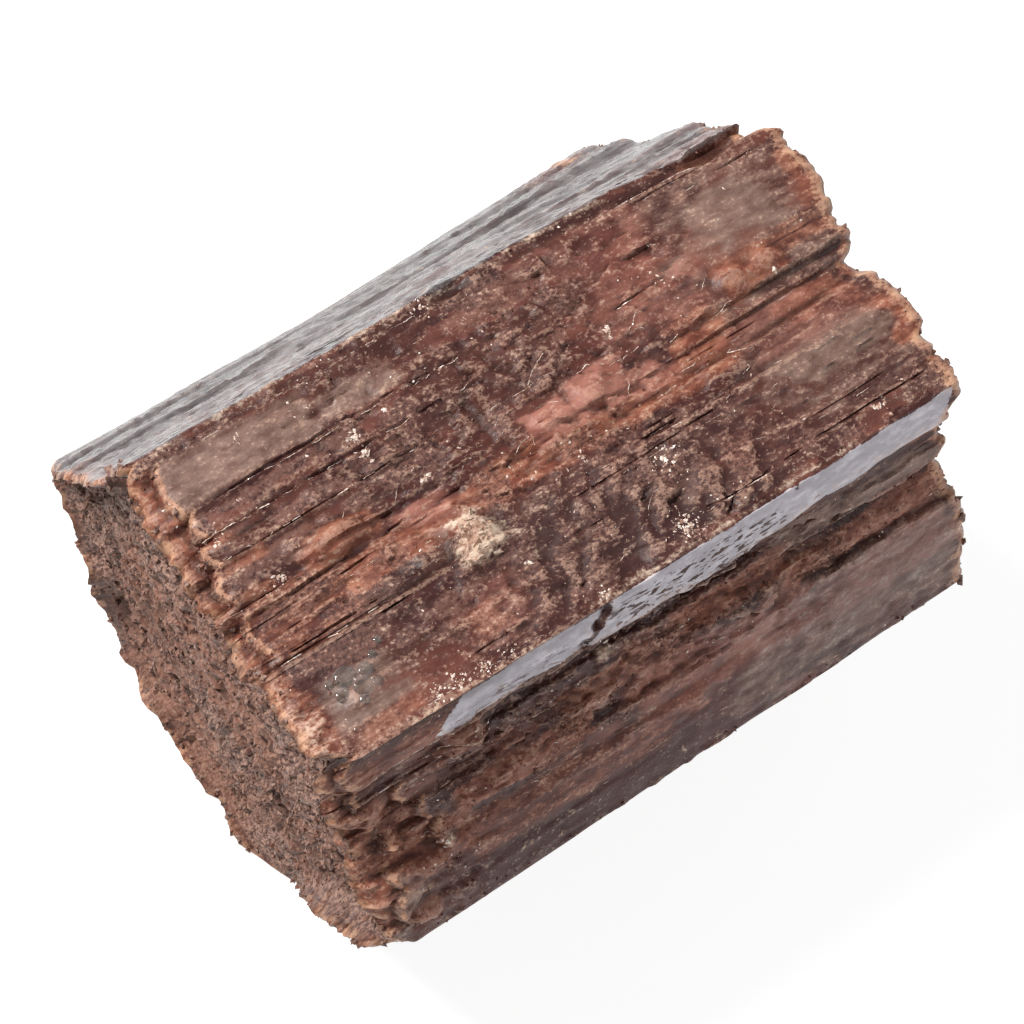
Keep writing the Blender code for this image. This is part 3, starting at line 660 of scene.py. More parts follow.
def ledge_height(name, x, t, seed):
    """Flat bands with a step between them, sharp in some places and worn away in others."""
    height = 0.0
    last = 0.0
    share = np.clip(np.abs(x) / HALF_LENGTH, 0.0, 1.0)
    for i, (start, near, middle, far) in enumerate(LEDGES[name]):
        level = middle + (np.where(x < 0, near, far) - middle) * share
        edge = start + WANDER[name] * fractal(x * 0.35, i * 3.7, seed)
        worn = smooth(noise(x * 0.28, i * 2.3, seed + 4), -0.35, 0.6)
        half = RISER * (0.5 + RISER_WEAR[name] * worn)
        riser = smooth((t - edge) / half, -1.0, 1.0) if i else 1.0
        height = height + (level - last) * riser
        last = level
    return height


def lump_height(name, x, t, seed):
    total = np.zeros(np.shape(x))
    warp = 0.35 * fractal(x * 0.8, t * 0.8, seed + 2.0, 3)
    for along, across, half_along, half_across, height in LUMPS[name]:
        away = np.hypot((x - along) / half_along, (t - across) / half_across) + 0.35 * warp
        total = total + height * smooth(1.0 - away, 0.0, 0.8)
    return total


def crack_depth(name, x, t, seed):
    total = np.zeros(np.shape(x))
    for i, (across, start, stop, depth) in enumerate(CRACKS[name]):
        reach = smooth(x, start - 0.2, start + 0.8) * smooth(-x, -stop - 0.2, -stop + 0.8)
        breaks = smooth(noise(x * 1.1, i * 5.1, seed), -0.55, 0.0)
        line = across + CRACK_WANDER * fractal(x * 0.45, i * 2.9, seed + 6)
        profile = np.clip(1.0 - np.abs(t - line) / CRACK_HALF_WIDTH, 0.0, 1.0)
        total = np.maximum(total, depth * reach * breaks * profile)
    return total


def rubble(x, t, seed):
    first, second, value = cells(x * 1.5, t * 1.9, seed)[:3]
    chips = 0.6 * value * smooth(second - first, 0.0, 0.25)
    return chips + 0.55 * fractal(x * 1.6, t * 2.4, seed, 3)


def layers(x, t, seed):
    """Edges of thin plates that lie on each other, along the column."""
    sheets = t * 3.1 + 1.1 * noise(x * 0.22, t * 0.7, seed)
    saw = sheets - np.floor(sheets)
    strength = 0.6 + 0.4 * noise(x * 0.5, np.floor(sheets) * 1.7, seed)
    return (saw - 0.5) * strength + 0.5 * noise(x * 0.7, t * 4.0, seed + 1)


def fibres(x, t, seed):
    """Splinters that run across the face."""
    lean = x + 0.6 * t + 0.9 * fractal(x * 0.5, t * 0.5, seed + 63.0, 3)
    first, second, value = cells(lean * 1.15, t * 0.42, seed)[:3]
    strength = 0.6 + 0.8 * fractal(x * 0.4, t * 0.4, seed + 5, 2)
    height = value * smooth(second - first, 0.0, 0.2) + 0.5 * noise(lean * 2.4, t * 1.2, seed + 2)
    return strength * height


def facets(x, t, seed):
    """Small cleaved faces, each tilted its own way, with a groove round them."""
    px = x + 0.6 * fractal(x * 0.5, t * 0.7, seed + 3, 3)
    pt = t + 0.4 * fractal(x * 0.5, t * 0.7, seed + 4, 3)
    first, second, value, away_x, away_t = cells(px * 0.62, pt * 0.85, seed)
    tilt = value * away_x + np.sin(40.0 * value) * away_t
    return tilt + 0.3 * value - 0.45 * smooth(0.12 - (second - first), 0.0, 0.12)


def terrace(x, t, seed):
    """Broken sheets, each with a curved edge."""
    field = 2.6 * fractal(x * 0.22, t * 0.5, seed, 2)
    field = field + 0.25 * fractal(x * 1.1, t * 1.6, seed + 3, 2)
    step = np.floor(field)
    return step + smooth(field - step, 0.78, 1.0)


KINDS = {shape.__name__: shape for shape in (rubble, layers, fibres, terrace, facets)}


def relief_height(name, x, t, seed):
    total = STRIA_HEIGHT * noise(x * 0.12, t * 6.5, seed)
    total = total + WAVE_HEIGHT * fractal(x * 0.12, t * 0.25, seed, 2)
    weights = {kind: np.zeros(np.shape(x)) for kind in KINDS}
    for patch in RELIEF[name]:
        weight = patch_weight(patch, x, t, seed + RELIEF_SEED)
        weights[patch.kind] = np.maximum(weights[patch.kind], weight)
    sheared = t + SHEAR.get(name, 0.0) * x
    for kind, shape in KINDS.items():
        if weights[kind].any():
            height = KIND_HEIGHT[kind] * weights[kind]
            total = total + height * shape(x, sheared, seed + 11)
    return total


def past_tips(name, x, t, seed):
    """For each top plate, how far a place lies past its rounded tip, and how deep the step is."""
    for across, half_width, tip, drop in PLATES.get(name, ()):
        offset = (t - across) / half_width
        edge = tip + TIP_ROUNDING * offset ** 2 + 0.12 * fractal(t * 2.2, across, seed)
        yield edge - x, smooth(1.15 - np.abs(offset), 0.0, 0.3), drop


def plate_drop(name, x, t, seed):
    total = np.zeros(np.shape(x))
    for past, band, drop in past_tips(name, x, t, seed):
        total = np.maximum(total, drop * band * smooth(past, 0.0, 0.25))
    return total


def bevel_drop(name, x, near, far):
    """How far the surface has turned down towards a plate's tip."""
    width, drop = RIM_BEVEL.get(name, OTHER_BEVEL)
    to_tip = np.minimum(x - near, far - x)
    return drop * (1.0 - np.clip(to_tip / width, 0.0, 1.0)) ** 2


def blurred(values, rows, columns):
    """Mean over a window of the grid. Rows run along the column and don't wrap; columns do."""
    result = values
    for axis, half, mode in ((0, rows, "edge"), (1, columns, "wrap")):
        pad = [(0, 0), (0, 0)]
        pad[axis] = (half + 1, half)
        sums = np.cumsum(np.pad(result, pad, mode=mode), axis=axis)
        span = 2 * half + 1
        high = np.take(sums, range(span, sums.shape[axis]), axis=axis)
        low = np.take(sums, range(0, sums.shape[axis] - span), axis=axis)
        result = (high - low) / span
    return result


# ---------------------------------------------------------------- the crystal's mesh
def station_places():
    inner = HALF_LENGTH - END_ZONE
    middle = np.linspace(-inner, inner, round(2 * inner / MID_STEP) + 1)
    end = np.linspace(inner, HALF_LENGTH, round(END_ZONE / END_STEP) + 1)[1:]
    return np.concatenate((-end[::-1], middle, end))


def stretched(nominal, near, far):
    inner = HALF_LENGTH - END_ZONE
    x = np.where(nominal < -inner, -inner + (nominal + inner) * (near + inner) / -END_ZONE, nominal)
    return np.where(nominal > inner, inner + (nominal - inner) * (far - inner) / END_ZONE, x)


def rims(i, t):
    """Where the plates end along each line of a face, near and far."""
    name, seed = FACES[i].name, FACE_SEED * i
    jag = noise(t * 2.1, seed, 1.0) + 0.5 * noise(t * 5.0, seed, 2.0)
    near = rim_along(NEAR_RIM, name, t) + RIM_SERRATION * jag
    return near, rim_along(FAR_RIM, name, t) + RIM_SERRATION * noise(t * 3.1, seed, 3.0)


def surface(i, x, t):
    """Points of the crystal's skin at places on one face, and their height over its plane."""
    face, seed = FACES[i], FACE_SEED * i
    near, far = rims(i, t)
    x, t = np.broadcast_arrays(x, t)
    start, end = face_edges(i)
    width = np.linalg.norm(end - start)
    height = ledge_height(face.name, x, t, seed) + lump_height(face.name, x, t, seed)
    height = height + relief_height(face.name, x, t, seed) - crack_depth(face.name, x, t, seed)
    height = height - plate_drop(face.name, x, t, seed) - bevel_drop(face.name, x, near, far)
    height = np.minimum(height, HIGHEST[face.name])
    wobble = WOBBLE * noise(x * 0.18, t * 0.3, seed + 77) * smooth(np.minimum(t, width - t))
    flat = start + (end - start) / width * (t + wobble)[..., None]
    radial = flat / np.linalg.norm(flat, axis=-1, keepdims=True)
    place = flat + radial * (height / (radial @ normal_of(face)))[..., None]
    return np.concatenate((x[..., None], place), axis=-1), height


def side_grid():
    """Positions, heights, pigments and ground of the crystal's side, on stations by lines."""
    nominal = station_places()[:, None]
    parts = []
    for i in range(len(FACES)):
        t = across_places(i)[None, :]
        x = stretched(nominal, *rims(i, t))
        points, height = surface(i, x, t)
        x, t = np.broadcast_arrays(x, t)
        stains = stain_weights(i, x, t)
        ground = ground_looks(i, x, t, layer_of(stains, "hackle"))
        parts.append((points, height, stains, ground))
    return [np.concatenate(arrays, axis=1) for arrays in zip(*parts)]


def layer_of(weights, kind):
    """The layer of one pigment, as a view."""
    return weights[..., PIGMENTS.index(kind)]


def stain_weights(i, x, t):
    """Amount of each pigment at places on one face."""
    name, seed = FACES[i].name, FACE_SEED * i
    weights = np.zeros(np.shape(x) + (len(PIGMENTS),))
    for number, patch in enumerate(STAINS[name]):
        layer = layer_of(weights, patch.kind)
        layer[...] = np.maximum(layer, patch_weight(patch, x, t, seed + STAIN_SEED + number))
    # Painted light: a glow along each rim and round each top plate's tip, in the rim layer.
    near, far = rims(i, t)
    to_tip = np.minimum((x - near) / RIM_GLOW_WIDTH[0], (far - x) / RIM_GLOW_WIDTH[1])
    rim = np.where(x < 0, *RIM_GLOW.get(name, OTHER_RIM_GLOW)) * smooth(1.0 - to_tip)
    iron, rim_light_layer = layer_of(weights, "iron"), layer_of(weights, "rim")
    for past, band, _ in past_tips(name, x, t, seed):
        rim = np.maximum(rim, band * smooth(1.0 - np.abs(past + 0.12) / 0.28))
        # Painted shade: the step down past each plate's tip is painted orange-brown in the iron
        # layer.
        iron[...] = np.maximum(iron, 0.9 * band * smooth(past, 0.0, 0.3))
    rim_light_layer[...] = np.maximum(rim_light_layer, rim)
    return weights


def ground_looks(i, x, t, hackle):
    """The ground under the pigments: a value for each clear patch, dust between them, and tone."""
    seed = FACE_SEED * i
    px = x + 0.9 * fractal(x * 0.6, t * 0.9, seed + 51.0, 3)
    pt = t + 0.6 * fractal(x * 0.6, t * 0.9, seed + 52.0, 3)
    first, second, value = cells(px * 0.36, pt * 0.7, seed + 53.0)[:3]
    border = smooth(0.14 - (second - first), 0.0, 0.14)
    dust = smooth(fractal(x * 0.5, t * 0.85, seed + 61.0, 4), 0.02, 0.4)
    dust = np.maximum(0.85 * dust, 0.6 * border)
    if FACES[i].name == "crown":
        dust = dust * (1.0 - 0.75 * smooth(x, 3.5, 9.0) * smooth(-t, -16.5, -13.0))
    if FACES[i].name == "front_slope":
        dust = dust * (1.0 - 0.7 * smooth(t, 7.0, 9.5))
    # On the splintery ground, tone and pale dust follow the splinters' own relief: painted
    # highlight on the raised splinters and painted shade between them.
    splinter_light_and_shade = smooth(fibres(x, t, seed + 11), -0.35, 0.45)
    dust = dust + (splinter_light_and_shade - dust) * hackle
    value = value + (1.6 * splinter_light_and_shade - 0.9 - value) * hackle
    broad = 0.5 + 0.5 * fractal(x * 0.16, t * 0.4, seed + 71.0, 3)
    return np.stack((0.5 + 0.5 * value, dust, broad), axis=-1)


def cap_level(y, z, side):
    """Place along the column of an end face: stepped by sector, swelling and grainy."""
    angle = np.degrees(np.arctan2(z, y)) + 20.0 * noise(y * 0.3, z * 0.3, side)
    sector = np.floor(angle / 60.0) % 2
    swell = CAP_SWELL * fractal(y * 0.16, z * 0.16, side * 3.0, octaves=2)
    first, second, value = cells(y * 2.4, z * 2.4, 17 + side)[:3]
    grain = CAP_GRAIN * (value + 1.4 * smooth(second - first, 0.0, 0.5) - 0.9)
    pits = 0.5 * smooth(fractal(y * 1.1, z * 1.1, side * 7.0), 0.25, 0.6)
    return side * (HALF_LENGTH - CAP_RECESS - SECTOR_STEP * sector + swell + grain - pits)


def cap_points(rim, side):
    """Grain vertices of an end face, on a staggered grid inside the rim."""
    step = CAP_STEP[side]
    count = int(CAP_REACH / step)
    row, place = np.meshgrid(np.arange(-count, count + 1), np.arange(-count, count + 1))
    y = step * (place + 0.5 * (row % 2))
    z = step * math.sin(math.radians(60.0)) * row
    jitter = CAP_JITTER * step
    y = (y + jitter * lattice(place, row, np.zeros_like(row), 3)).ravel()
    z = (z + jitter * lattice(place, row, np.zeros_like(row), 4)).ravel()
    rim_angle = np.arctan2(rim[:, 2], rim[:, 1])
    order = np.argsort(rim_angle)
    reach = np.interp(np.arctan2(z, y), rim_angle[order], np.hypot(rim[:, 1], rim[:, 2])[order],
                      period=2 * math.pi)
    inside = np.hypot(y, z) < CAP_INSIDE * reach - 0.25 * step
    return y[inside], z[inside]


def build_cap(rim, side, first_index):
    """New vertices and triangles that close one end; rim holds the positions of its ring."""
    lip_y, lip_z = rim[:, 1] * CAP_LIP, rim[:, 2] * CAP_LIP
    lip_x = 0.6 * cap_level(lip_y, lip_z, side) + 0.4 * rim[:, 0]
    lip = np.stack((lip_x, lip_y, lip_z), axis=-1)
    y, z = cap_points(rim, side)
    grains = np.stack((cap_level(y, z, side), y, z), axis=-1)
    points = np.concatenate((lip, grains))
    flat = [Vector((p[1], p[2])) for p in points]
    filled = geometry.delaunay_2d_cdt(flat, [], [list(range(len(lip)))], 1, 0.0001)
    sources = [source[0] for source in filled[3]]
    triangles = [[first_index + sources[corner] for corner in triangle] for triangle in filled[2]]
    return points, triangles


def band_quads(first, second):
    """Quads between two rings of vertex numbers."""
    return [(first[i - 1], first[i], second[i], second[i - 1]) for i in range(len(first))]


def add_layer(mesh, name, values):
    layer = mesh.attributes.new(name, "FLOAT_COLOR", "POINT")
    colours = np.ones((len(values), 4), np.float32)
    colours[:, :3] = values
    layer.data.foreach_set("color", colours.ravel())


def add_looks(mesh, stains, forms, grounds):
    """Pigments, form and ground as colour layers that the material reads."""
    for number, layer in enumerate("abcd"):
        add_layer(mesh, "stain_" + layer, stains[:, 3 * number:3 * number + 3])
    add_layer(mesh, "form", forms)
    add_layer(mesh, "ground", grounds)


def cap_ground(y, z, side):
    """Ground of an end face: slow patches of tone and dust."""
    value = 0.5 + 0.5 * fractal(y * 0.7, z * 0.7, side + 5.0)
    dust = 0.5 + 0.5 * fractal(y * 1.4, z * 1.4, side + 9.0)
    broad = 0.5 + 0.5 * fractal(y * 0.14, z * 0.14, side + 2.0, octaves=2)
    return np.stack((value, dust, broad), axis=-1)


def side_forms(height):
    """Form layer of the side: not an end face, hollows that get painted shade, and raised edges."""
    local = blurred(height, 3, 3)
    hollow_shade = np.clip((local - height) / HOLLOW_DEPTH, 0.0, 1.0)
    wide = np.clip((blurred(height, 9, 9) - height) / WIDE_HOLLOW_DEPTH, 0.0, 1.0)
    edge = np.clip((height - local) / EDGE_HEIGHT, 0.0, 1.0)
    return np.stack((np.zeros_like(height), np.maximum(hollow_shade, 0.6 * wide), edge), axis=-1)


def make_crystal():
    grid, height, pigments, grounds = side_grid()
    rows, columns = height.shape
    number = np.arange(rows * columns).reshape(rows, columns)
    before = np.roll(number, 1, axis=1)
    quads = np.stack((before[:-1], number[:-1], number[1:], before[1:]), axis=-1).reshape(-1, 4)
    faces = quads.tolist()
    points = [grid.reshape(-1, 3)]
    total = rows * columns
    caps = []
    for side, row in ((-1, 0), (1, rows - 1)):
        new_points, triangles = build_cap(grid[row], side, total)
        lip = list(range(total, total + columns))
        faces += band_quads(number[row].tolist(), lip) + triangles
        points.append(new_points)
        caps.append((side, len(new_points)))
        total += len(new_points)
    points = np.concatenate(points)

    stains = [pigments.reshape(-1, len(PIGMENTS))]
    forms = [side_forms(height).reshape(-1, 3)]
    grounds = [grounds.reshape(-1, 3)]
    for (side, count), start in zip(caps, (rows * columns, rows * columns + caps[0][1])):
        cap = points[start:start + count]
        level = HALF_LENGTH - CAP_RECESS - side * cap[:, 0]
        # Deeper places of an end face get painted shade through the hollow channel.
        pit_shade = np.clip(level / PIT_DEPTH, 0.0, 1.0)
        stains.append(np.zeros((count, len(PIGMENTS))))
        forms.append(np.stack((np.ones(count), pit_shade, np.zeros(count)), axis=-1))
        grounds.append(cap_ground(cap[:, 1], cap[:, 2], side))

    low, high = points.min(axis=0), points.max(axis=0)
    cad_low, cad_high = (np.array(corner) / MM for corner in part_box(NODE))
    shift = np.array(((cad_low[0] + cad_high[0] - low[0] - high[0]) / 2,
                      (cad_low[1] + cad_high[1] - low[1] - high[1]) / 2, cad_low[2] - low[2]))
    mesh = bpy.data.meshes.new("specimen")
    mesh.from_pydata(((points + shift) * MM).tolist(), [], faces)
    add_looks(mesh, np.concatenate(stains), np.concatenate(forms), np.concatenate(grounds))
    turn_outward(mesh)
    mesh.shade_smooth()
    mesh.set_sharp_from_angle(angle=SMOOTH_ANGLE)
    return add_object("specimen", mesh), shift


def add_object(name, data):
    made = bpy.data.objects.new(name, data)
    bpy.context.scene.collection.objects.link(made)
    return made


def turn_outward(mesh):
    work = bmesh.new()
    work.from_mesh(mesh)
    bmesh.ops.recalc_face_normals(work, faces=work.faces[:])
    work.to_mesh(mesh)
    work.free()


# ---------------------------------------------------------------- small pieces
def seat(tree, axis, places, directions):
    """Where lines sent at the crystal meet it, from its axis, and the skin's normals."""
    hits, normals, kept = [], [], []
    for number, (place, direction) in enumerate(zip(places, directions)):
        start = Vector(place + axis) * MM
        location, normal = tree.ray_cast(start, Vector(-direction))[:2]
        if location is not None:
            hits.append(np.array(location) / MM - axis)
            normals.append(np.array(normal))
            kept.append(number)
    return np.array(hits), np.array(normals), np.array(kept)


def seat_on_face(tree, axis, i, x, t):
    start, end = face_edges(i)
    across = (end - start) / np.linalg.norm(end - start)
    outward = np.array((0.0, *normal_of(FACES[i])))
    flat = start + across * t[:, None]
    places = np.concatenate((x[:, None], flat), axis=1) + ABOVE * outward
    return seat(tree, axis, places, np.tile(outward, (len(x), 1)))


def seat_on_cap(tree, axis, side, y, z):
    places = np.stack((np.full(len(y), side * (HALF_LENGTH + ABOVE)), y, z), axis=1)
    return seat(tree, axis, places, np.tile((side, 0.0, 0.0), (len(y), 1)))


def crumbs(random, places, normals, sizes, flatness, stretch):
    """Small eight-sided stones, each turned its own way, with their centres on the skin."""
    count = len(places)
    corners = np.array(((1, 0, 0), (0, 1, 0), (-1, 0, 0), (0, -1, 0), (0, 0, 1), (0, 0, -1)), float)
    corners = corners + random.uniform(-CRUMB_JITTER, CRUMB_JITTER, (count, 6, 3))
    helper = random.normal(size=(count, 3))
    first = np.cross(normals, helper)
    first /= np.linalg.norm(first, axis=1, keepdims=True)
    second = np.cross(normals, first)
    lean = normals + random.uniform(-CRUMB_LEAN, CRUMB_LEAN, (count, 3))
    longer = random.uniform(1.0 / stretch, stretch, (count, 1))
    axes = np.stack((first * longer, second / longer, lean * flatness), axis=1)
    points = places[:, None, :] + sizes[:, None, None] * np.einsum("nij,njk->nik", corners, axes)
    sides = [(a, (a + 1) % 4, 4) for a in range(4)] + [((a + 1) % 4, a, 5) for a in range(4)]
    faces = np.array(sides)[None] + 6 * np.arange(count)[:, None, None]
    return points.reshape(-1, 3), faces.reshape(-1, 3)


def joined(parts):
    """Points and faces of several meshes as one mesh."""
    starts = np.cumsum([0] + [len(points) for points, _ in parts[:-1]])
    faces = [faces + start for (_, faces), start in zip(parts, starts)]
    return np.concatenate([points for points, _ in parts]), np.concatenate(faces)


def make_piece(name, points, faces, axis):
    """A mesh of small pieces, none of them below the base's plane."""
    mesh = bpy.data.meshes.new(name)
    places = points + axis
    places[:, 2] = np.maximum(places[:, 2], 0.0)
    mesh.from_pydata((places * MM).tolist(), [], faces.tolist())
    turn_outward(mesh)
    return add_object(name, mesh)


def ribbon(tree, axis, i, path, half_width, jitter, seed):
    """A thin broken vein along a path of (along, across) points on one face."""
    path = np.array(path, float)
    lengths = np.concatenate(([0.0], np.cumsum(np.hypot(*np.diff(path, axis=0).T))))
    run = np.arange(0.0, lengths[-1], VEIN_STEP)
    x = np.interp(run, lengths, path[:, 0]) + jitter * fractal(run * 1.8, seed, 1.0, octaves=4)
    t = np.interp(run, lengths, path[:, 1]) + jitter * fractal(run * 1.8, seed, 2.0, octaves=4)
    places, normals, kept = seat_on_face(tree, axis, i, x, t)
    run = run[kept]
    ahead = np.gradient(places, axis=0)
    beside = np.cross(normals, ahead)
    beside /= np.linalg.norm(beside, axis=1, keepdims=True) + 1e-9
    width = half_width * (0.25 + smooth(fractal(run * 1.7, seed, 3.0), -0.35, 0.45))[:, None]
    ridge = places + VEIN_RIDGE * normals
    low = places - VEIN_DEPTH * normals
    points = np.stack((low - beside * width, ridge, low + beside * width), axis=1).reshape(-1, 3)
    solid = fractal(run * 1.5, seed, 4.0, octaves=3) > VEIN_BREAK
    faces = []
    for a in 3 * np.flatnonzero(solid[:-1]):
        for first, second in ((a, a + 1), (a + 1, a + 2), (a + 2, a)):
            faces += [(first, first + 3, second + 3), (first, second + 3, second)]
    return points, np.array(faces)


def spare_veins():
    """Short slightly bent hairlines strewn over a face, most of them along the column."""
    random = np.random.default_rng(VEIN_DRAWS)
    for name, (count, reach) in SPARE_VEINS.items():
        for _ in range(count):
            x = random.uniform(-SPARE_VEIN_END, SPARE_VEIN_END)
            t = random.uniform(1.2, reach)
            half, lean = 0.5 * random.uniform(*SPARE_VEIN), random.normal(0.0, 0.3)
            along, across = half * math.cos(lean), half * math.sin(lean)
            bend = 0.25 * half * random.uniform(-1.0, 1.0)
            yield name, ((x - along, t - across), (x, t + bend), (x + along, t + across))


def make_veins(tree, axis):
    """Hairlines of pale healed cracks, and a painted highlight along the lower lip of each open
    one.
    """
    vein, lip = (VEIN_HALF_WIDTH, VEIN_JITTER), (LIP_HALF_WIDTH, LIP_JITTER)
    jobs = [(name, path, *vein) for name, paths in VEINS.items() for path in paths]
    jobs += [(name, path, *lip) for name, path in spare_veins()]
    # Painted highlight: a pale line along the lower lip of each open crack.
    for name in ("crown", "front_slope"):
        for across, start, stop, _ in CRACKS[name]:
            below = across + LIT_LIP_OFFSET
            jobs.append((name, ((start + 0.3, below), (stop - 0.3, below)), *lip))
    names = [face.name for face in FACES]
    ribbons = [ribbon(tree, axis, names.index(name), *rest, VEIN_SEED * number)
               for number, (name, *rest) in enumerate(jobs)]
    points, faces = joined([made for made in ribbons if len(made[1])])
    used, numbers = np.unique(faces, return_inverse=True)
    return make_piece("veins", points[used], numbers.reshape(-1, 3), axis)


def scattered(random, i, count):
    """Random places on a face, with the pigments there."""
    start, end = face_edges(i)
    width = np.linalg.norm(end - start)
    x = random.uniform(-HALF_LENGTH - 0.6, HALF_LENGTH + 0.6, count)
    t = random.uniform(0.05, width - 0.05, count)
    return x, t, stain_weights(i, x, t)


def rough_share(name, x, t, seed):
    share = np.zeros(np.shape(x))
    for patch in RELIEF[name]:
        if patch.kind == "rubble":
            share = np.maximum(share, patch_weight(patch, x, t, seed + RELIEF_SEED))
    return np.clip(share, 0.0, 1.0)


def limonite_crumbs(random, tree, axis):
    """The crown's cream lump is a heap of coarse crumbs."""
    along, across, radius, number, size = LIMONITE
    x = along + radius * random.normal(0.0, 0.5, number)
    t = across + radius * random.normal(0.0, 0.5, number)
    places, normals, kept = seat_on_face(tree, axis, CROWN, x, t)
    weights = np.zeros((len(kept), len(PIGMENTS)))
    layer_of(weights, "cream")[...] = 1.0
    return places, normals, size * random.uniform(0.4, 1.3, len(kept)), weights, 0.0


def make_grains(tree, axis):
    """Crumbs of the crystal's own colour: sugary grains on the ends, rubble on the sides."""
    random = np.random.default_rng(GRAIN_DRAWS)
    parts, stains, forms, grounds, groups = [], [], [], [], []
    for side, count in ((-1, CAP_CRUMBS), (1, CAP_CRUMBS // 2)):
        y = random.uniform(-HALF_LENGTH, HALF_LENGTH, count)
        z = random.uniform(-HALF_LENGTH, HALF_LENGTH, count)
        places, normals = seat_on_cap(tree, axis, side, y, z)[:2]
        on_end = side * places[:, 0] > HALF_LENGTH - END_ZONE / 2
        places, normals = places[on_end], normals[on_end]
        sizes = CAP_CRUMB * random.uniform(0.55, 1.3, len(places)) ** 2
        groups.append((places, normals, sizes, np.zeros((len(places), len(PIGMENTS))), 1.0))
    groups.append(limonite_crumbs(random, tree, axis))
    for i, face in enumerate(FACES):
        x, t, weights = scattered(random, i, SIDE_CRUMBS)
        share = 0.9 * rough_share(face.name, x, t, FACE_SEED * i) + 0.7 * layer_of(weights, "rim")
        wanted = random.uniform(size=len(x)) < share - 0.05
        x, t, weights = x[wanted], t[wanted], weights[wanted]
        places, normals, kept = seat_on_face(tree, axis, i, x, t)
        sizes = SIDE_CRUMB * random.uniform(0.4, 1.3, len(kept)) ** 2
        weights = weights[kept]
        keep = np.max([layer_of(weights, kind) for kind in SMOOTH_KINDS], axis=0) < 0.3
        groups.append((places[keep], normals[keep], sizes[keep], weights[keep], 0.0))
    for places, normals, sizes, weights, cap in groups:
        parts.append(crumbs(random, places, normals, sizes, 0.8, 1.15))
        count = len(places)
        # Each crumb gets a random darkening in the hollow channel and a random pale edge.
        form = np.stack((np.full(count, cap), 0.5 * random.uniform(size=count) ** 2,
                         random.uniform(size=count)), axis=1)
        stains.append(np.repeat(weights, 6, axis=0))
        forms.append(np.repeat(form, 6, axis=0))
        grounds.append(np.repeat(random.uniform(size=(count, 3)), 6, axis=0))
    piece = make_piece("grains", *joined(parts), axis)
    add_looks(piece.data, np.concatenate(stains), np.concatenate(forms), np.concatenate(grounds))
    return piece


def make_chips(tree, axis):
    """White flakes: a thin scatter, more along broken ground, and the clusters that stand out."""
    random = np.random.default_rng(CHIP_DRAWS)
    parts = []
    for i, face in enumerate(FACES):
        x, t, weights = scattered(random, i, CHIP_TRIES)
        share = 0.02 + 0.12 * rough_share(face.name, x, t, FACE_SEED * i)
        share = share + 0.2 * layer_of(weights, "film")
        share = share * smooth(fractal(x * 0.6, t * 0.6, i + 9.0), -0.2, 0.5) * 1.6
        smooth_skin = np.maximum(layer_of(weights, "painted_sheen"), layer_of(weights, "grey_sheen"))
        share = share * (1.0 - np.clip(1.1 * smooth_skin, 0.0, 1.0))
        wanted = random.uniform(size=len(x)) < share
        x, t = list(x[wanted]), list(t[wanted])
        sizes = list(CHIP * random.uniform(0.3, 1.15, len(x)) ** 2.6)
        for along, across, radius, number, size in CLUSTERS.get(face.name, ()):
            turn = random.uniform(0.0, 2 * math.pi, number)
            away = radius * np.abs(random.normal(0.0, 0.75, number))
            x += list(along + away * np.cos(turn))
            t += list(across + away * np.sin(turn))
            sizes += list(size * random.uniform(0.35, 1.25, number) ** 2)
        places, normals, kept = seat_on_face(tree, axis, i, np.array(x), np.array(t))
        parts.append(crumbs(random, places, normals, np.array(sizes)[kept], 0.5, 1.45))
    return make_piece("chips", *joined(parts), axis)


def make_bubbles(tree, axis):
    """Clear domes of the blister near the crown's corner."""
    x, t, radius = (np.array(column) for column in zip(*BUBBLES))
    places, _, kept = seat_on_face(tree, axis, CROWN, x, t)
    turn, rise = np.meshgrid(np.linspace(0, 2 * math.pi, DOME_SIDES, endpoint=False),
                             np.linspace(-0.3, 0.5 * math.pi, DOME_RINGS))
    dome = (np.cos(turn) * np.cos(rise), np.sin(turn) * np.cos(rise), DOME_HEIGHT * np.sin(rise))
    dome = np.stack(dome, axis=-1)
    ring = np.arange(DOME_SIDES)
    quads = [(r * DOME_SIDES + a, r * DOME_SIDES + (a + 1) % DOME_SIDES,
              (r + 1) * DOME_SIDES + (a + 1) % DOME_SIDES, (r + 1) * DOME_SIDES + a)
             for r in range(DOME_RINGS - 1) for a in ring]
    points = places[:, None, None, :] + radius[kept, None, None, None] * dome[None]
    numbers = DOME_RINGS * DOME_SIDES * np.arange(len(places))
    faces = np.array(quads)[None] + numbers[:, None, None]
    piece = make_piece("bubbles", points.reshape(-1, 3), faces.reshape(-1, 4), axis)
    piece.data.shade_smooth()
    return piece


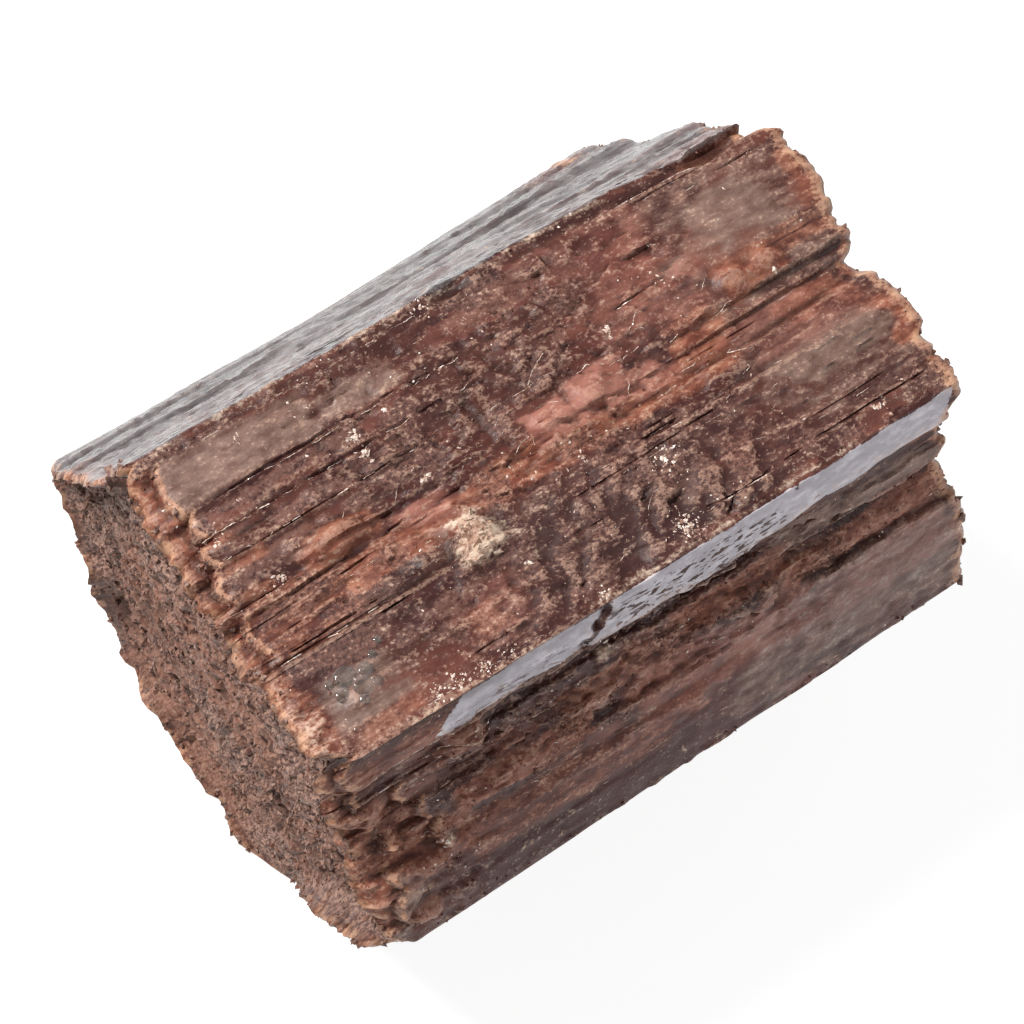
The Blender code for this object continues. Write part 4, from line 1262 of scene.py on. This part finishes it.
# ---------------------------------------------------------------- materials
class Graph:
    """Short ways to add shader nodes to one material."""

    def __init__(self, name):
        self.material = bpy.data.materials.new(name)
        self.material.use_nodes = True
        self.tree = self.material.node_tree
        self.shader = self.tree.nodes["Principled BSDF"]

    def node(self, kind, **settings):
        made = self.tree.nodes.new(kind)
        for key, value in settings.items():
            setattr(made, key, value)
        return made

    def put(self, socket, value):
        if isinstance(value, bpy.types.NodeSocket):
            self.tree.links.new(value, socket)
        else:
            socket.default_value = value

    def math(self, operation, first, second=0.0, clamp=False):
        made = self.node("ShaderNodeMath", operation=operation, use_clamp=clamp)
        self.put(made.inputs[0], first)
        self.put(made.inputs[1], second)
        return made.outputs[0]

    def times(self, first, second):
        return self.math("MULTIPLY", first, second)

    def most(self, first, second):
        return self.math("MAXIMUM", first, second)

    def uniform(self, **values):
        """Values that are the same all over, with _ for a space in the socket's name."""
        for name, value in values.items():
            self.shader.inputs[name.replace("_", " ")].default_value = value

    def mix(self, share, first, second):
        made = self.node("ShaderNodeMix", data_type="RGBA")
        self.put(made.inputs[0], share)
        self.put(made.inputs[6], first)
        self.put(made.inputs[7], second)
        return made.outputs[2]

    def blend(self, share, first, second):
        """Between two tones."""
        return self.mix(share, tone(*first), tone(*second))

    def lay(self, share, over):
        """Puts a tone or a socket over the colour that is there."""
        if not isinstance(over, bpy.types.NodeSocket):
            over = tone(*over)
        self.colour = self.mix(share, self.colour, over)

    def noise(self, stretch, scale, detail=4.0, roughness=0.6):
        """Noise whose pattern is stretched by that much along each axis; scale is per metre."""
        place = self.node("ShaderNodeTexCoord").outputs["Object"]
        mapping = self.node("ShaderNodeMapping")
        self.put(mapping.inputs["Vector"], place)
        mapping.inputs["Scale"].default_value = stretch
        made = self.node("ShaderNodeTexNoise")
        self.put(made.inputs["Vector"], mapping.outputs[0])
        made.inputs["Scale"].default_value = scale
        made.inputs["Detail"].default_value = detail
        made.inputs["Roughness"].default_value = roughness
        return made.outputs[0]

    def between(self, value, low, high, to_low=0.0, to_high=1.0):
        made = self.node("ShaderNodeMapRange", interpolation_type="SMOOTHSTEP")
        self.put(made.inputs["Value"], value)
        made.inputs["From Min"].default_value = low
        made.inputs["From Max"].default_value = high
        made.inputs["To Min"].default_value = to_low
        made.inputs["To Max"].default_value = to_high
        return made.outputs[0]

    def channels(self, attribute):
        made = self.node("ShaderNodeAttribute", attribute_name=attribute)
        split = self.node("ShaderNodeSeparateColor")
        self.put(split.inputs[0], made.outputs["Color"])
        return split.outputs[0], split.outputs[1], split.outputs[2]

    def ragged(self, mask, texture, spread=2.0, soft=0.38):
        """Turns a soft mask into a patchy one whose border follows a texture."""
        shift = self.times(self.math("SUBTRACT", texture, 0.5), spread)
        moved = self.math("ADD", mask, shift)
        return self.between(moved, 0.5 - soft, 0.5 + soft)


def tone(red, green, blue):
    """A colour given in display values from 0 to 255."""
    return (*(((c / 255.0 + 0.055) / 1.055) ** 2.4 for c in (red, green, blue)), 1.0)


def aragonite_material():
    g = Graph("aragonite")
    tan, iron, dark_stain_and_shade = g.channels("stain_a")
    film, painted_sheen, cream = g.channels("stain_b")
    pits, salmon, wine = g.channels("stain_c")
    rim, grey_sheen, hackle = g.channels("stain_d")
    cap, hollow_shade, edge = g.channels("form")
    value, dust, broad = g.channels("ground")
    mottle = g.noise((0.5, 1.0, 1.0), 1500.0, 4.0, 0.65)
    fine = g.noise((0.75, 1.0, 1.0), 5200.0, 3.0, 0.7)
    streak = g.noise((0.06, 1.0, 1.0), 2600.0, 3.0, 0.6)
    both = g.times(g.math("ADD", mottle, fine), 0.5)
    clear = g.most(g.most(tan, painted_sheen), g.most(grey_sheen, cap))
    clear = g.most(clear, g.times(salmon, 0.8))
    broken = g.math("SUBTRACT", 1.0, g.times(clear, 0.8))

    g.colour = g.blend(g.between(broad, 0.3, 0.7), (62, 34, 32), (88, 49, 41))
    g.lay(g.between(value, 0.0, 0.4, 0.8, 0.0), (56, 31, 31))
    g.lay(g.between(value, 0.6, 1.0, 0.0, 0.5), (130, 80, 68))
    g.lay(g.between(mottle, 0.4, 0.66, 0.0, 0.35), (122, 78, 68))
    g.lay(g.times(g.ragged(wine, mottle, 1.4), 0.8), (76, 38, 34))
    # Dark stain, and where the tables put it, painted shadow and shade.
    g.lay(g.times(g.ragged(dark_stain_and_shade, both), 0.75), (54, 31, 30))
    tan_tone = g.blend(g.between(mottle, 0.36, 0.66), (108, 84, 76), (138, 112, 101))
    tan_tone = g.mix(g.between(streak, 0.42, 0.68, 0.0, 0.25), tan_tone, tone(104, 74, 64))
    g.lay(g.times(g.ragged(tan, mottle, 1.6, 0.45), 0.9), tan_tone)
    iron_tone = g.blend(g.between(mottle, 0.38, 0.64), (114, 62, 47), (158, 102, 80))
    iron_tone = g.mix(g.between(streak, 0.45, 0.7, 0.0, 0.3), iron_tone, tone(92, 45, 35))
    g.lay(g.times(g.ragged(iron, both, 1.8), 0.9), iron_tone)
    salmon_tone = g.blend(g.between(value, 0.1, 0.9), (138, 84, 72), (164, 110, 96))
    g.lay(g.times(g.ragged(salmon, mottle, 1.0), 0.88), salmon_tone)

    dusty = g.ragged(g.times(g.most(dust, film), broken), both, 3.4, 0.2)
    g.lay(g.times(dusty, 0.36), (136, 100, 88))
    specks = g.times(g.between(fine, 0.42, 0.5, 1.0, 0.0), g.times(dust, broken))
    g.lay(g.times(specks, 0.75), (50, 28, 26))
    specks = g.times(g.between(fine, 0.6, 0.68), g.times(dust, broken))
    g.lay(g.times(specks, 0.5), (190, 152, 136))

    # Painted reflection: a grey sheen painted over glossy faces, darker where the dark layer lies
    # on it (painted shade); their real gloss comes from the lower roughness below.
    grey_sheen_tone = g.blend(g.between(streak, 0.36, 0.68), (98, 99, 103), (146, 148, 152))
    grey_sheen_tone = g.mix(g.between(mottle, 0.42, 0.66, 0.0, 0.45), grey_sheen_tone, tone(160, 160, 163))
    g.lay(g.times(g.ragged(grey_sheen, both, 2.4, 0.3), 0.58), grey_sheen_tone)
    shaded = g.times(g.times(dark_stain_and_shade, grey_sheen), g.between(mottle, 0.3, 0.6, 0.4, 0.9))
    g.lay(shaded, (78, 72, 74))
    # Painted sheen: the lavender strip's pearly reflection, painted into the colour.
    painted_sheen_tone = g.blend(g.between(mottle, 0.4, 0.7), (172, 166, 172), (210, 205, 212))
    g.lay(g.ragged(painted_sheen, both, 1.8, 0.12), painted_sheen_tone)
    dash = g.between(g.noise((0.28, 1.0, 1.0), 6200.0, 2.0, 0.5), 0.54, 0.58)
    g.lay(g.times(g.ragged(pits, mottle, 1.6), dash), (72, 48, 44))
    cream_tone = g.blend(g.between(both, 0.42, 0.6), (160, 122, 104), (214, 194, 174))
    g.lay(g.ragged(cream, both, 2.6, 0.4), cream_tone)
    # Painted light: the glow through the plates' thin tips.
    tip_glow_tone = g.blend(g.between(mottle, 0.38, 0.64), (148, 94, 70), (202, 156, 126))
    g.lay(g.times(g.ragged(rim, both, 2.6, 0.3), 0.8), tip_glow_tone)
    edge_mask = g.ragged(g.times(edge, 0.66), fine, 3.0, 0.25)
    edge_mask = g.times(edge_mask, g.math("SUBTRACT", 1.0, g.times(grey_sheen, 0.85)))
    g.lay(g.times(edge_mask, 0.3), (194, 158, 138))

    grain_tone = g.blend(g.between(fine, 0.38, 0.62), (78, 54, 48), (158, 126, 112))
    grain_tone = g.mix(g.between(broad, 0.4, 0.8, 0.0, 0.5), grain_tone, tone(128, 84, 66))
    g.lay(cap, grain_tone)
    # Painted shade: hollows, cracks and the end faces' pits are darkened.
    g.lay(g.times(hollow_shade, 0.66), (44, 25, 21))
    g.put(g.shader.inputs["Base Color"], g.colour)

    rough = g.between(fine, 0.3, 0.7, 0.26, 0.42)
    rough = g.math("ADD", rough, g.times(g.most(cap, g.most(dust, hackle)), 0.24))
    rough = g.math("ADD", rough, g.times(iron, 0.12), clamp=True)
    polish = g.between(grey_sheen, 0.2, 0.8, 1.0, 0.35)
    rough = g.times(rough, polish)
    g.put(g.shader.inputs["Roughness"], rough)
    g.uniform(IOR=1.53, Specular_IOR_Level=0.22)

    bump = g.node("ShaderNodeBump")
    relief = g.math("ADD", g.times(streak, g.math("ADD", g.times(grey_sheen, 0.5), 0.08)), fine)
    smooth_share = g.math("ADD", 0.3, g.times(g.times(dust, broken), 0.9))
    g.put(bump.inputs["Height"], g.times(relief, smooth_share))
    bump.inputs["Strength"].default_value = BUMP_STRENGTH
    bump.inputs["Distance"].default_value = BUMP_DISTANCE
    g.put(g.shader.inputs["Normal"], bump.outputs[0])
    return g.material


def chip_material():
    """Bruised calcite-white flakes, healed hairlines and the painted highlights on the cracks'
    lower lips, a little glossy.
    """
    g = Graph("pale_chips")
    fine = g.noise((1.0, 1.0, 1.0), 6000.0, 3.0, 0.6)
    colour = g.blend(g.between(fine, 0.38, 0.62), (168, 128, 106), (234, 222, 212))
    g.put(g.shader.inputs["Base Color"], colour)
    g.put(g.shader.inputs["Roughness"], g.between(fine, 0.35, 0.65, 0.15, 0.45))
    g.uniform(IOR=1.6)
    return g.material


def bubble_material():
    """Clear, greyish and very smooth crystal."""
    g = Graph("clear_blister")
    cloud = g.noise((1.0, 1.0, 1.0), 1400.0, 3.0, 0.6)
    colour = g.blend(g.between(cloud, 0.4, 0.6), (190, 178, 172), (240, 236, 232))
    g.put(g.shader.inputs["Base Color"], colour)
    g.uniform(Roughness=0.04, IOR=1.33, Transmission_Weight=0.92)
    return g.material


def floor_material():
    g = Graph("pale_floor")
    g.uniform(Base_Color=(0.3, 0.3, 0.3, 1.0), Roughness=0.9,
              Emission_Color=(1.0, 1.0, 1.0, 1.0), Emission_Strength=FLOOR_GLOW)
    return g.material


# ---------------------------------------------------------------- studio
def make_floor():
    mesh = bpy.data.meshes.new("floor")
    corners = [(x * FLOOR_HALF, y * FLOOR_HALF, 0) for x, y in ((-1, -1), (1, -1), (1, 1), (-1, 1))]
    mesh.from_pydata(corners, [], [(0, 1, 2, 3)])
    mesh.materials.append(floor_material())
    floor = add_object("floor", mesh)
    floor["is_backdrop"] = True


def add_light(name, place, size, power, colour):
    data = bpy.data.lights.new(name, "AREA")
    data.shape = "DISK"
    data.size = size * MM
    data.energy = power
    data.color = colour
    light = add_object(name, data)
    target = Vector((0.0, 0.0, AXIS_HEIGHT * MM))
    light.location = Vector(place) * MM
    light.rotation_euler = (target - light.location).to_track_quat("-Z", "Y").to_euler()


def make_studio():
    world = bpy.data.worlds.new("studio")
    world.use_nodes = True
    background = world.node_tree.nodes["Background"]
    background.inputs["Color"].default_value = (1.0, 1.0, 1.0, 1.0)
    background.inputs["Strength"].default_value = WORLD_GLOW
    bpy.context.scene.world = world
    add_light("key", (-140, 200, 340), 110, 2.3, (1.0, 0.985, 0.96))
    add_light("fill", (200, -260, 260), 240, 0.35, (0.95, 0.97, 1.0))
    make_floor()
    bpy.context.scene.view_settings.view_transform = "Standard"


def make_camera(axis):
    """The photograph was taken from high over the near end, with the camera rolled."""
    turn, rise, roll = CAMERA_TURN, CAMERA_RISE, CAMERA_ROLL
    flat = math.cos(rise)
    back = Vector((math.sin(turn) * flat, -math.cos(turn) * flat, math.sin(rise)))
    level = Vector((math.cos(turn), math.sin(turn), 0.0))
    up = back.cross(level)
    right = level * math.cos(roll) + up * math.sin(roll)
    top = up * math.cos(roll) - level * math.sin(roll)
    middle = Vector(axis)
    place = middle + back * CAMERA_DISTANCE
    aim = middle + right * AIM_RIGHT + top * AIM_UP
    back = (place - aim).normalized()
    right = top.cross(back).normalized()
    top = back.cross(right)
    data = bpy.data.cameras.new("camera")
    data.lens = CAMERA_LENS
    data.sensor_width = SENSOR_WIDTH
    data.clip_start = NEAR_CLIP
    camera = add_object("camera", data)
    turned = Matrix((right, top, back)).transposed().to_4x4()
    camera.matrix_world = Matrix.Translation(place * MM) @ turned
    bpy.context.scene.camera = camera


def finish_piece(piece, material):
    piece.data.materials.append(material)
    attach(piece, "root")


crystal, axis = make_crystal()
make_camera(axis)
make_studio()
tree = BVHTree.FromObject(crystal, bpy.context.evaluated_depsgraph_get())
stone, pale = aragonite_material(), chip_material()
finish_piece(crystal, stone)
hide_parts(NODE)
finish_piece(make_grains(tree, axis), stone)
finish_piece(make_chips(tree, axis), pale)
finish_piece(make_veins(tree, axis), pale)
finish_piece(make_bubbles(tree, axis), bubble_material())

corners = lambda box: [list(map(float, corner)) for corner in box]
{"cad": corners(CAD_BOX), "visual": corners(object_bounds())}
